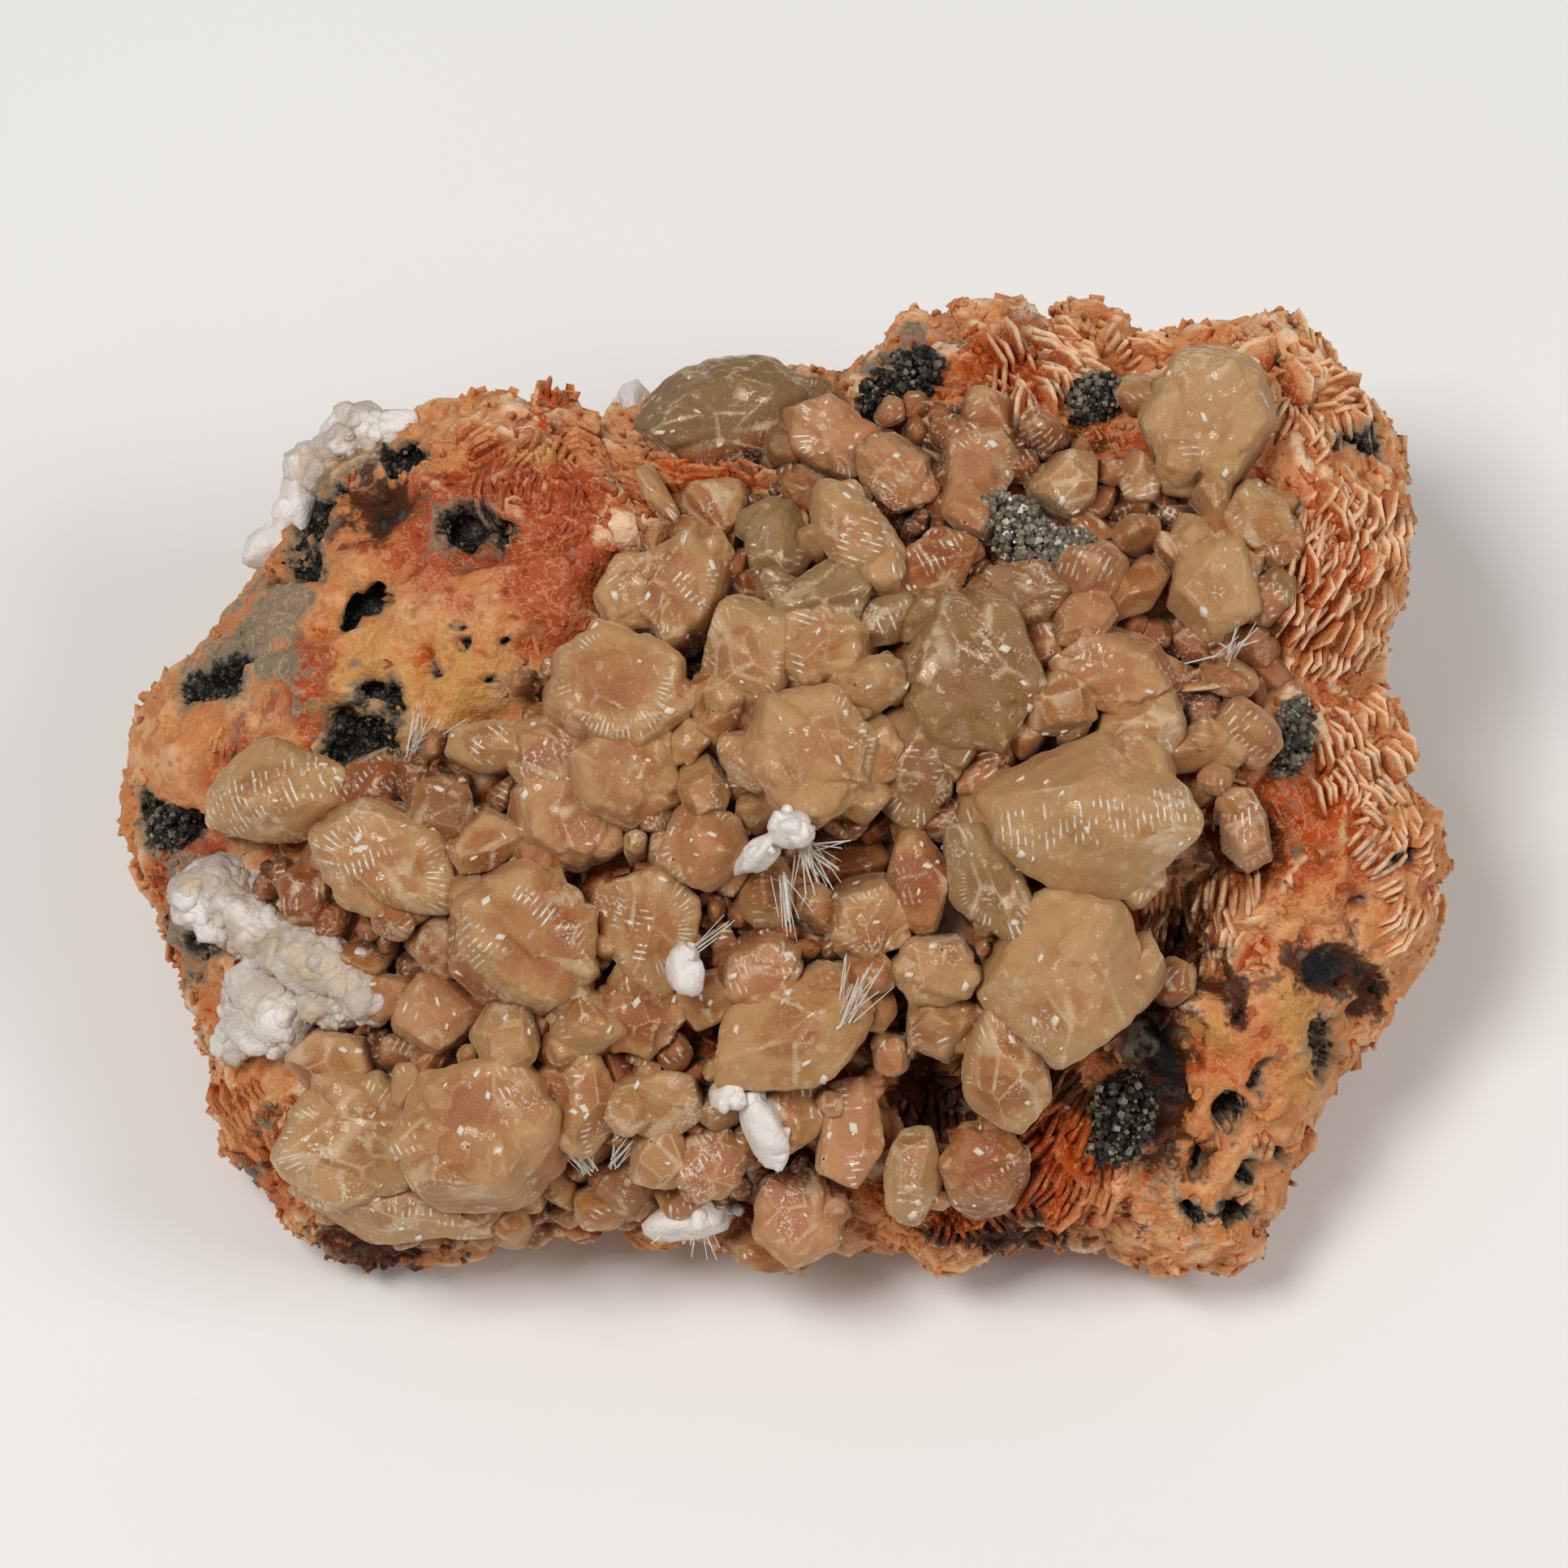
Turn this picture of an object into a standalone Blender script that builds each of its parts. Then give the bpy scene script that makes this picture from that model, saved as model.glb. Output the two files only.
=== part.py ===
"""Barite matrix with cerussite crystals, galena and white crust: a hand specimen on a flat base.

The crystal face looks up and to the front. Places on it are given in millimetres in the face's own
frame: u to the right, v up the face, w out of it. The world is in metres with +Z up, and its origin
is the middle of the flat base.
"""

import itertools
import math
from typing import NamedTuple

import bmesh
import bpy
import numpy as np

# Driving dimensions, in millimetres and degrees
MM = 0.001
FACE_RISE = math.radians(65.0)
FACE_CENTRE_HEIGHT = 18.5
DOME_HEIGHT = 12.0
BASE_SHRINK_X = 0.84
BASE_SHRINK_Y = 0.80
BASE_SHIFT_Y = 1.5
BASE_SUNK = 2.0
GAP = 0.32

# Fineness of the rock before and after it is simplified, and of the random lattice
ROCK_SUBDIVISIONS = 6
ROCK_TRIANGLES = 850
LATTICE = 24

# Form of the face: how flat the dome is and how steep its edge, and how it falls away up and left
DOME_FLATNESS = 3.2
DOME_EDGE = 0.55
RELIEF_EDGE = 6
FALL_UP = 0.0035
FALL_LEFT = 0.0024

# Relief of the face and of the side, each in two sizes: strength, size, seed
FACE_RELIEF = ((1.2, 8.0, 11), (0.7, 3.4, 12))
SIDE_RELIEF = ((1.0, 7.0, 21), (0.6, 3.2, 22))
SIDE_LEDGE_STRETCH = (1.0, 1.0, 1.8)
SIDE_INWARD = 0.045
SIDE_INWARD_BULGE = 0.7
SIDE_TUCK = 1.7

# Share of the way from the outline to the middle of the base that is side, the rest being base
SIDE_SHARE = 0.72

# The face frame's axes in the world, as rows
FACE_AXES = np.array(
    (
        (1.0, 0.0, 0.0),
        (0.0, math.sin(FACE_RISE), math.cos(FACE_RISE)),
        (0.0, -math.cos(FACE_RISE), math.sin(FACE_RISE)),
    )
)
FACE_CENTRE = np.array((0.0, 0.0, FACE_CENTRE_HEIGHT))

# Outline of the rock in the face frame, (u, v), clockwise from the notch at the upper left
OUTLINE = (
    (-11.1, 22.2), (-10.2, 23.4), (-8.3, 23.6), (-5.8, 24.3), (-0.3, 25.4), (4.0, 25.3), (5.5, 26.5),
    (6.7, 27.3), (8.0, 29.4), (9.7, 29.0), (13.5, 30.2), (16.7, 29.0), (19.0, 29.8), (21.0, 29.0), (22.3, 27.3),
    (26.2, 28.1), (31.0, 29.2), (32.7, 28.5), (34.5, 26.3), (37.5, 23.0), (37.6, 21.8), (39.0, 17.8),
    (38.9, 15.3), (38.2, 12.3), (37.0, 9.3), (36.5, 5.8), (38.0, 4.0), (38.7, 0.0), (40.7, -2.7),
    (41.1, -4.2), (41.0, -8.7), (39.0, -11.5), (38.2, -13.2), (34.7, -18.0), (32.0, -23.2),
    (30.0, -27.5), (29.2, -29.2), (27.2, -29.9), (24.2, -30.3), (21.7, -29.5), (20.5, -28.5),
    (19.6, -26.7), (17.8, -28.3), (14.0, -28.6), (10.0, -30.0), (7.2, -28.7), (2.2, -28.5),
    (-3.1, -28.5), (-4.8, -28.0), (-11.1, -27.2), (-16.3, -27.6), (-19.3, -29.0), (-23.6, -30.0),
    (-28.3, -29.4), (-29.1, -28.2), (-32.1, -26.0), (-34.7, -22.2), (-35.7, -16.7), (-36.6, -13.7),
    (-38.6, -9.0), (-40.8, -4.7), (-41.2, -1.7), (-40.8, 2.6), (-39.6, 5.3), (-36.6, 8.3),
    (-34.7, 10.6), (-33.3, 12.3), (-31.1, 16.1), (-30.3, 17.8), (-28.3, 20.3), (-26.8, 21.8),
    (-23.3, 23.0), (-17.6, 24.4), (-16.3, 23.3), (-13.8, 24.0), (-13.1, 22.8), (-12.3, 22.0),
)

# Swells and hollows of the face: u, v, radius across, radius up, height
SWELLS = (
    (18.0, 24.0, 13.0, 4.5, 2.6),
    (34.0, 15.0, 4.5, 9.0, 2.8),
    (38.0, -6.0, 4.0, 5.0, 2.0),
    (31.0, -18.0, 5.0, 8.0, 3.4),
    (-24.0, 12.0, 9.0, 8.0, 1.6),
    (-8.0, 18.0, 6.0, 3.0, 1.5),
    (24.5, -9.0, 3.5, 3.5, -5.0),
    (20.6, -19.3, 3.0, 4.2, -3.0),
    (9.5, -19.5, 3.5, 3.5, -3.5),
    (4.5, -4.7, 2.5, 2.5, -3.0),
    (-26.5, -15.6, 4.0, 1.6, -2.4),
    (23.0, 9.0, 2.4, 3.0, -2.0),
)

# Pits that galena has left in the face: u, v, radius across, radius up, depth
PITS = (
    (-23.0, 20.5, 1.7, 1.1, 4.0),
    (-29.3, 15.0, 1.4, 2.2, 3.2),
    (-25.5, 11.2, 1.2, 1.1, 3.4),
    (-18.6, 14.7, 2.0, 1.5, 3.2),
    (-26.2, 2.3, 2.2, 2.0, 2.2),
    (-35.4, 6.1, 1.8, 1.8, 2.2),
    (-25.2, 6.0, 1.2, 1.0, 1.8),
    (27.7, -21.0, 1.1, 1.1, 2.6),
    (30.2, -23.7, 1.1, 1.1, 2.6),
    (27.6, -26.3, 1.2, 1.0, 2.6),
)

# The gap between the two legs at the lower right: u, v, half width, half height
LEG_GAP = (25.3, -26.4, 1.1, 2.5)
LEG_GAP_TURN = 6.0
LEG_GAP_DEPTH = 60.0


class BladeBank(NamedTuple):
    """A bank of barite blades: its place and spread, how many, how long, and which way they run."""

    name: str
    u: float
    v: float
    spread_u: float
    spread_v: float
    count: int
    length: float
    turn: float
    scatter: float


BLADE_BANKS = (
    BladeBank("right_upper_rim", 33.8, 16.5, 3.0, 7.2, 9, 5.8, 75, 35),
    BladeBank("right_middle", 35.4, 2.0, 2.0, 3.4, 4, 5.0, 100, 40),
    BladeBank("right_lobe", 37.2, -6.0, 1.6, 3.4, 4, 4.6, 60, 40),
    BladeBank("right_hollow", 24.6, -8.6, 2.4, 2.2, 3, 5.0, 95, 15),
    BladeBank("bottom_plates", 10.4, -27.2, 3.6, 1.2, 4, 5.0, 100, 25),
    BladeBank("orange_plates", 17.4, -22.6, 2.2, 3.0, 3, 5.0, 60, 40),
    BladeBank("bottom_pegs", 15.6, -28.0, 2.0, 0.3, 3, 3.6, 90, 8),
    BladeBank("left_hollow", -26.0, -15.4, 3.4, 1.0, 2, 5.5, 20, 20),
    BladeBank("left_bottom_edge", -33.0, -20.5, 1.0, 3.0, 2, 5.0, -70, 20),
    BladeBank("top_folds", -5.0, 18.6, 3.0, 1.2, 3, 5.5, -20, 20),
    BladeBank("top_right_block", 17.0, 25.2, 5.5, 2.2, 4, 5.4, 100, 35),
    BladeBank("orange_spike", -14.3, 23.6, 0.2, 0.2, 1, 4.2, 95, 2),
    BladeBank("white_bar", -7.5, 17.6, 0.2, 0.2, 1, 4.6, -45, 2),
    BladeBank("knife", 25.7, 6.1, 0.2, 0.2, 1, 5.6, 15, 2),
)
BLADE_THICKNESS = 0.95
BLADE_DEPTH = 6.0
BLADE_PROUD = (0.27, 1.08)
BLADE_SIZES = (0.8, 1.2)
BLADE_LEAN = 25.0
BLADE_PITCH = 12.0
BLADE_SEED = 100

# Crystal forms: each row is a ring of faces given by count, first azimuth, elevation and distance,
# on a crystal whose half sizes are 1
HABITS = {
    "tablet": ((7, 0, 4, 1.00), (4, 25, 46, 0.94), (1, 0, 88, 0.76)),
    "lens": ((6, 0, 38, 0.90), (4, 45, -30, 0.95), (2, 0, 2, 1.0), (1, 0, 86, 0.84)),
    "block": ((5, 12, 4, 0.98), (4, 40, 50, 0.92), (1, 0, 84, 0.88)),
    "round": ((6, 0, 2, 1.00), (4, 20, 45, 0.97), (1, 0, 88, 0.92)),
    "plate": ((5, 18, 0, 1.00), (2, 65, 62, 0.74), (1, 245, 56, 0.86)),
    "finger": ((6, 30, 2, 1.00), (4, 45, 50, 0.94), (1, 0, 88, 0.90)),
}
ROOT_FACES = (3, 15, -48, 0.90)
ROOT_DEPTH = 0.9
ROOT_LEVEL = 0.85
SMALL_CRYSTAL = 2.5

# Faces of the plain room that each piece is given in the rock: count, first azimuth, elevation
ROOM_RINGS = ((5, 0, 0), (2, 30, -48), (1, 0, -90), (1, 0, 90))
FACE_SCATTER = 0.07
AZIMUTH_SCATTER = 12.0
LEAN_SCATTER = 13.0
CORNER_REACH = 1.2
CRYSTAL_SEED = 1000


class Crystal(NamedTuple):
    """One crystal: its middle on the face, half sizes, turn in the face, rise of its middle, form."""

    u: float
    v: float
    half_length: float
    half_width: float
    half_depth: float
    turn: float
    rise: float
    habit: str


# Cerussite: each node is one crystal, or several that have grown through each other
CERUSSITE = {
    "pale_finger": (Crystal(4.6, 14.8, 3.9, 2.4, 3.2, -52, 2.4, "finger"),),
    "grey_green": (Crystal(-0.6, 14.4, 2.6, 2.3, 2.4, 100, 1.4, "block"),),
    "striated_fan": (
        Crystal(2.2, 10.8, 3.4, 2.2, 2.8, 35, 2.4, "plate"),
        Crystal(-2.3, 7.8, 3.3, 3.0, 3.2, 60, 2.8, "block"),
        Crystal(2.2, 8.2, 2.8, 2.5, 3.0, 10, 2.6, "tablet"),
    ),
    "little_egg": (Crystal(5.0, 6.0, 2.4, 1.9, 3.0, 10, 3.0, "round"),),
    "upper_left_trio": (
        Crystal(-9.1, 11.6, 2.5, 2.2, 2.6, 70, 1.6, "tablet"),
        Crystal(-6.3, 11.8, 3.5, 2.5, 3.0, 80, 2.2, "tablet"),
        Crystal(-5.2, 13.9, 2.2, 2.0, 2.4, 30, 1.4, "block"),
    ),
    "thick_tablets": (
        Crystal(-10.1, 5.8, 4.3, 3.8, 3.8, -30, 3.2, "tablet"),
        Crystal(-9.6, 0.4, 3.5, 2.8, 3.4, -15, 3.0, "tablet"),
    ),
    "centre_tablet": (Crystal(1.7, 1.7, 4.4, 3.9, 4.2, -50, 3.9, "tablet"),),
    "broad_grey": (Crystal(11.2, 6.8, 4.7, 4.2, 3.8, -70, 2.6, "tablet"),),
    "olive": (Crystal(7.9, 1.2, 3.8, 2.4, 3.0, 85, 1.6, "block"),),
    "great_lens": (Crystal(19.2, -1.9, 7.0, 4.2, 5.0, -3, 4.6, "lens"),),
    "striated_lean": (Crystal(12.4, -5.9, 3.8, 2.4, 3.2, -52, 2.8, "plate"),),
    "amber_pair": (
        Crystal(8.2, -5.9, 3.1, 2.0, 2.8, 95, 2.0, "round"),
        Crystal(5.3, -8.2, 2.5, 2.2, 2.8, 20, 2.2, "tablet"),
    ),
    "stacked_pair": (
        Crystal(9.2, -11.4, 2.6, 2.1, 3.0, 0, 2.6, "tablet"),
        Crystal(9.3, -14.6, 2.3, 2.0, 2.8, 20, 2.2, "block"),
    ),
    "great_block": (Crystal(17.2, -11.7, 5.2, 4.6, 4.6, 70, 3.6, "block"),),
    "column": (Crystal(13.4, -17.2, 3.7, 2.6, 3.8, 100, 3.2, "finger"),),
    "lower_striated": (Crystal(12.1, -23.3, 2.7, 2.4, 3.2, 60, 2.6, "tablet"),),
    "lower_oval": (Crystal(7.9, -23.8, 2.8, 1.9, 3.0, 80, 2.6, "round"),),
    "pale_disc": (Crystal(25.8, 22.4, 4.1, 3.7, 3.0, 60, 2.4, "tablet"),),
    "upper_middle": (Crystal(11.9, 19.5, 2.5, 2.2, 2.6, 30, 1.6, "block"),),
    "upper_sparkling": (Crystal(17.3, 18.3, 2.2, 2.1, 2.6, 0, 1.8, "block"),),
    "top_pink_pair": (
        Crystal(3.2, 21.0, 3.4, 2.2, 2.6, -32, 1.4, "tablet"),
        Crystal(6.8, 18.9, 2.7, 1.9, 2.6, -32, 1.2, "tablet"),
    ),
    "upper_right_bead": (Crystal(29.0, 16.1, 2.5, 2.0, 2.4, -50, 1.6, "round"),),
    "pale_block": (Crystal(26.1, 11.8, 3.1, 2.8, 3.0, 80, 2.4, "block"),),
    "right_chain": (
        Crystal(18.2, 9.9, 2.4, 1.7, 2.4, 25, 1.6, "block"),
        Crystal(19.8, 6.8, 3.4, 2.3, 2.8, -10, 2.0, "tablet"),
        Crystal(16.6, 4.8, 2.2, 2.0, 2.8, 0, 1.8, "round"),
        Crystal(21.5, 3.4, 2.7, 2.3, 3.0, 20, 2.2, "block"),
    ),
    "right_bead": (Crystal(28.1, -3.0, 2.3, 1.6, 2.2, 110, 1.4, "round"),),
    "tan_plates": (Crystal(9.2, 13.3, 2.7, 1.8, 2.6, 40, 1.6, "plate"),),
    "brown_grey": (Crystal(14.2, 11.5, 3.0, 2.0, 2.4, 5, 1.2, "tablet"),),
    "left_lens": (Crystal(-31.2, -0.7, 4.6, 2.7, 3.2, 8, 2.2, "lens"),),
    "left_tablet": (Crystal(-24.1, -4.9, 4.5, 3.4, 3.6, -22, 2.8, "tablet"),),
    "left_olive": (
        Crystal(-21.0, -1.6, 2.2, 2.0, 2.4, 60, 1.4, "round"),
        Crystal(-18.1, -3.7, 2.2, 2.0, 2.6, 40, 1.8, "plate"),
    ),
    "left_middle_chain": (
        Crystal(-17.8, 2.2, 2.8, 1.5, 2.4, -8, 1.8, "round"),
        Crystal(-14.4, 1.8, 2.5, 2.2, 2.6, 10, 1.8, "tablet"),
        Crystal(-13.0, -2.1, 3.2, 2.5, 2.8, -30, 2.0, "tablet"),
        Crystal(-15.2, -4.6, 2.0, 1.6, 2.4, 60, 1.4, "block"),
    ),
    "big_tablet": (Crystal(-15.5, -9.3, 4.5, 4.0, 4.2, -25, 3.6, "tablet"),),
    "striated_leaf": (Crystal(-8.3, -8.8, 3.8, 3.1, 3.4, 100, 2.6, "plate"),),
    "bottle": (
        Crystal(-5.1, -0.3, 2.0, 1.6, 3.2, 90, 3.0, "round"),
        Crystal(-4.8, -3.9, 2.6, 2.6, 3.6, 0, 3.4, "block"),
    ),
    "middle_facets": (
        Crystal(-12.0, -14.7, 2.3, 2.1, 3.0, 20, 2.8, "block"),
        Crystal(-8.6, -13.8, 2.7, 2.4, 2.6, 50, 1.8, "tablet"),
        Crystal(-4.6, -12.9, 2.1, 1.9, 2.6, 0, 1.8, "block"),
    ),
    "left_dull_group": (
        Crystal(-16.9, -15.4, 2.3, 1.9, 3.0, 80, 2.8, "round"),
        Crystal(-20.9, -13.8, 2.8, 2.4, 2.4, 10, 1.2, "block"),
        Crystal(-24.6, -12.9, 2.4, 1.6, 2.2, 5, 1.2, "block"),
    ),
    "oblong": (Crystal(-27.7, -17.1, 2.5, 1.9, 2.8, -8, 2.2, "finger"),),
    "lower_left_group": (
        Crystal(-26.3, -21.9, 4.6, 3.8, 4.0, 15, 3.2, "tablet"),
        Crystal(-18.8, -21.2, 5.0, 4.4, 4.6, 10, 4.0, "tablet"),
        Crystal(-24.8, -25.6, 5.8, 2.3, 3.0, -8, 2.4, "lens"),
    ),
    "bottom_middle_group": (
        Crystal(-12.5, -19.4, 3.1, 2.3, 3.0, 85, 2.0, "block"),
        Crystal(-7.7, -19.2, 2.9, 2.2, 2.8, 5, 2.4, "plate"),
        Crystal(-7.6, -22.6, 2.3, 2.0, 2.8, 90, 2.2, "block"),
        Crystal(-4.6, -23.2, 2.4, 2.1, 2.8, 70, 2.2, "tablet"),
    ),
    "big_plate": (
        Crystal(0.3, -15.0, 5.0, 3.2, 3.8, 28, 3.6, "plate"),
        Crystal(-1.4, -11.6, 2.6, 2.0, 2.8, 30, 2.2, "tablet"),
    ),
    "bottom_tan": (
        Crystal(0.9, -26.4, 2.9, 2.7, 2.8, 80, 2.0, "tablet"),
        Crystal(-0.4, -28.9, 2.7, 1.3, 2.2, 0, 4.4, "round"),
    ),
    "pink_plates": (Crystal(4.2, -21.2, 3.5, 2.2, 2.8, 85, 1.8, "plate"),),
    "top_edge_block": (Crystal(-3.0, 22.6, 5.3, 3.2, 3.4, 5, 1.6, "tablet"),),
}


class Lobe(NamedTuple):
    """One rounded lobe of a crust or lump: its middle, half sizes, turn and rise of its middle."""

    u: float
    v: float
    half_length: float
    half_width: float
    half_depth: float
    turn: float
    rise: float


# White crust: knobs, drops and spreading sheets that have grown over rock and crystals
CRUST = {
    "white_crust_rim": (
        Lobe(-26.6, 21.7, 2.8, 1.9, 2.2, 15, 0.2),
        Lobe(-29.3, 19.6, 2.2, 1.8, 2.2, 50, 0.4),
        Lobe(-30.7, 17.3, 2.8, 1.4, 2.0, 70, 0.4),
        Lobe(-32.0, 15.0, 2.3, 1.3, 1.9, 30, 0.4),
    ),
    "white_crust_left": (
        Lobe(-35.4, -6.6, 3.0, 1.9, 2.4, 30, 1.0),
        Lobe(-32.8, -8.8, 3.4, 2.0, 2.4, -40, 1.0),
        Lobe(-28.4, -10.9, 3.8, 2.2, 2.4, -15, 1.2),
        Lobe(-31.4, -13.8, 3.2, 3.0, 2.6, 20, 1.2),
        Lobe(-26.0, -12.6, 2.4, 1.6, 2.2, -40, 1.4),
    ),
    "white_knob": (Lobe(-9.5, 23.5, 1.7, 1.3, 1.8, 80, 0.6),),
    "white_ball": (
        Lobe(0.4, -2.6, 1.4, 1.3, 2.0, 0, 7.6),
        Lobe(-1.5, -4.2, 1.8, 0.9, 2.2, 42, 6.4),
    ),
    "white_drop": (Lobe(-5.9, -11.2, 1.8, 1.2, 2.2, 100, 5.6),),
    "white_blebs": (
        Lobe(-3.5, -18.8, 1.2, 1.1, 1.8, 0, 4.2),
        Lobe(-1.3, -20.8, 2.6, 1.4, 2.0, 118, 3.6),
    ),
    "white_fan": (Lobe(-5.5, -26.7, 3.0, 1.5, 1.9, 5, 1.8),),
}

# Galena: dark granular lumps in the rock's pockets
GALENA = {
    "galena_top": (Lobe(7.2, 24.6, 3.2, 2.0, 1.6, 35, 0.4),),
    "galena_top_right": (Lobe(18.9, 23.7, 2.2, 1.7, 1.5, 20, 0.5),),
    "galena_grey": (
        Lobe(14.2, 15.4, 3.2, 2.1, 1.8, -35, 1.4),
        Lobe(17.4, 14.0, 2.0, 1.7, 1.6, 0, 1.2),
    ),
    "galena_lower_right": (Lobe(20.6, -20.4, 3.3, 2.3, 1.9, 70, 1.2),),
    "galena_right": (Lobe(31.0, 2.8, 2.8, 1.5, 1.5, 75, 0.8),),
    "galena_left_edge": (Lobe(-37.8, -2.6, 1.9, 1.6, 1.8, 30, -0.2),),
}
LUMP_SEGMENTS = 6
LUMP_RINGS = 5
LUMP_ROUGHNESS = 0.14
KNOB_SIZE = 0.55
KNOB_SEED = 31
CRUST_SEED = 2000
GALENA_SEED = 3000
LUMP_SEED_STEP = 10


def lattice_noise(points, size, seed):
    """Smooth random values from -1 to 1 that change over about size, read at each point."""
    table = np.random.default_rng(seed).uniform(-1.0, 1.0, (LATTICE, LATTICE, LATTICE))
    cells = np.asarray(points) / size
    low = np.floor(cells).astype(int)
    part = cells - low
    part = part * part * (3.0 - 2.0 * part)
    total = np.zeros(cells.shape[:-1])
    for corner in itertools.product((0, 1), repeat=3):
        index = (low + corner) % LATTICE
        weight = np.prod(np.where(corner, part, 1.0 - part), axis=-1)
        total += weight * table[index[..., 0], index[..., 1], index[..., 2]]
    return total


def relief(points, rows):
    """Sum of smooth random values, one for each row."""
    return sum(strength * lattice_noise(points, size, seed) for strength, size, seed in rows)


def to_world(face_points):
    """World points in metres from face points in millimetres."""
    return (FACE_CENTRE + np.asarray(face_points) @ FACE_AXES) * MM


def rim_radius(angle):
    """Distance from the face's middle to the outline at each angle."""
    corners = np.array(OUTLINE)
    angles = np.arctan2(corners[:, 1], corners[:, 0])
    radii = np.hypot(corners[:, 0], corners[:, 1])
    order = np.argsort(angles)
    return np.interp(angle, angles[order], radii[order], period=2.0 * math.pi)


def spots(u, v, rows):
    """Sum of soft round swells or hollows, one for each row."""
    total = np.zeros_like(u)
    for centre_u, centre_v, across, up, height in rows:
        total += height * np.exp(-(((u - centre_u) / across) ** 2) - ((v - centre_v) / up) ** 2)
    return total


def face_height(u, v):
    """Height w of the rock's face: a dome that drops steeply at the outline, with its relief."""
    reach = np.clip(np.hypot(u, v) / rim_radius(np.arctan2(v, u)), 0.0, 1.0)
    inside = 1.0 - reach**RELIEF_EDGE
    flat = np.stack((u, v, np.zeros_like(u)), axis=-1)
    dome = DOME_HEIGHT * (1.0 - reach**DOME_FLATNESS) ** DOME_EDGE
    fall = FALL_UP * np.maximum(v, 0.0) ** 2 + FALL_LEFT * np.minimum(u, 0.0) ** 2
    rough = relief(flat, FACE_RELIEF) * (1.0 - hidden_by_crystals(u, v))
    return dome - fall + inside * (spots(u, v, SWELLS) - spots(u, v, PITS) + rough)


def hidden_by_crystals(u, v):
    """How far crystals hide the rock at each place, from 0 to 1."""
    crystals = itertools.chain.from_iterable(CERUSSITE.values())
    rows = [(one.u, one.v, one.half_length, one.half_length, 1.0) for one in crystals]
    return np.minimum(1.0, spots(u, v, rows))


def height_at(u, v):
    """Height of the rock's face at one place."""
    return float(face_height(np.array([u]), np.array([v]))[0])


def rock_point(directions):
    """Each unit direction's point on the rock, in world metres.

    Directions on the viewer's side land on the face. The others run down the rock's side from the
    outline to a smaller contour under the base plane, and on to the middle of the base.
    """
    across, up, out = directions.T
    angle = np.arctan2(up, across)
    polar = np.arccos(np.clip(out, -1.0, 1.0))
    radius = rim_radius(angle)
    reach = np.where(polar < math.pi / 2, np.sin(polar), 1.0)
    u = radius * reach * np.cos(angle)
    v = radius * reach * np.sin(angle)
    face = np.stack((u, v, face_height(u, v)), axis=-1)
    rim = FACE_CENTRE + face @ FACE_AXES
    down = np.clip(polar / (math.pi / 2) - 1.0, 0.0, 1.0)
    wall = np.clip(down / SIDE_SHARE, 0.0, 1.0)
    under = np.clip((down - SIDE_SHARE) / (1.0 - SIDE_SHARE), 0.0, 1.0)
    foot = rim * (BASE_SHRINK_X, BASE_SHRINK_Y, 0.0) + (0.0, BASE_SHIFT_Y, -BASE_SUNK)
    side = rim.copy()
    tuck = wall**SIDE_TUCK
    side[:, :2] += (foot[:, :2] - rim[:, :2]) * tuck[:, None]
    side[:, 2] += (foot[:, 2] - rim[:, 2]) * wall
    ledges = relief(side * SIDE_LEDGE_STRETCH, SIDE_RELIEF)
    inward = SIDE_INWARD * (1.0 - ledges) * np.sin(math.pi * wall) ** SIDE_INWARD_BULGE
    side[:, :2] *= (1.0 - inward)[:, None]
    side[:, :2] *= (1.0 - under)[:, None]
    return np.where((polar < math.pi / 2)[:, None], rim, side) * MM


def new_object(name, mesh_data, collection):
    """A new object for this bmesh, linked to the collection."""
    mesh = bpy.data.meshes.new(name)
    mesh_data.to_mesh(mesh)
    mesh_data.free()
    made = bpy.data.objects.new(name, mesh)
    collection.objects.link(made)
    return made


def new_collection(name):
    """A new collection in the scene."""
    made = bpy.data.collections.new(name)
    bpy.context.scene.collection.children.link(made)
    return made


def new_helper(name, mesh_data, collection):
    """A new object that only cuts or joins another."""
    made = new_object(name, mesh_data, collection)
    made.hide_render = True
    made.display_type = "WIRE"
    return made


def keep_largest_body(mesh):
    """Removes every loose piece of the mesh but the largest, and says how many there were."""
    shape = bmesh.new()
    shape.from_mesh(mesh)
    waiting = set(shape.faces)
    bodies = []
    while waiting:
        body = []
        reached = [waiting.pop()]
        while reached:
            face = reached.pop()
            body.append(face)
            for edge in face.edges:
                for other in edge.link_faces:
                    if other in waiting:
                        waiting.discard(other)
                        reached.append(other)
        bodies.append(body)
    bodies.sort(key=lambda faces: -bulk(faces))
    for body in bodies[1:]:
        bmesh.ops.delete(shape, geom=body, context="FACES")
    shape.to_mesh(mesh)
    shape.free()
    return len(bodies)


def bulk(faces):
    """Volume enclosed by these faces."""
    total = 0.0
    for face in faces:
        total += face.calc_center_median().dot(face.normal) * face.calc_area() / 3.0
    return abs(total)


def settle(target):
    """Turns the object's modifiers into its mesh, as one body."""
    graph = bpy.context.evaluated_depsgraph_get()
    mesh = bpy.data.meshes.new_from_object(target.evaluated_get(graph))
    target.modifiers.clear()
    target.data = mesh
    return keep_largest_body(mesh)


def combine(target, operation, others):
    """Joins the others to the target, or cuts them from it."""
    if not others:
        return
    operands = new_collection(f"{target.name}_{operation.lower()}")
    for other in others:
        operands.objects.link(other)
    step = target.modifiers.new(operation.title(), "BOOLEAN")
    step.operation = operation
    step.operand_type = "COLLECTION"
    step.collection = operands
    step.solver = "EXACT"
    bodies = settle(target)
    if bodies > 1:
        print(f"{target.name}: {operation.lower()} left {bodies} bodies")
    bpy.data.collections.remove(operands)


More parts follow.
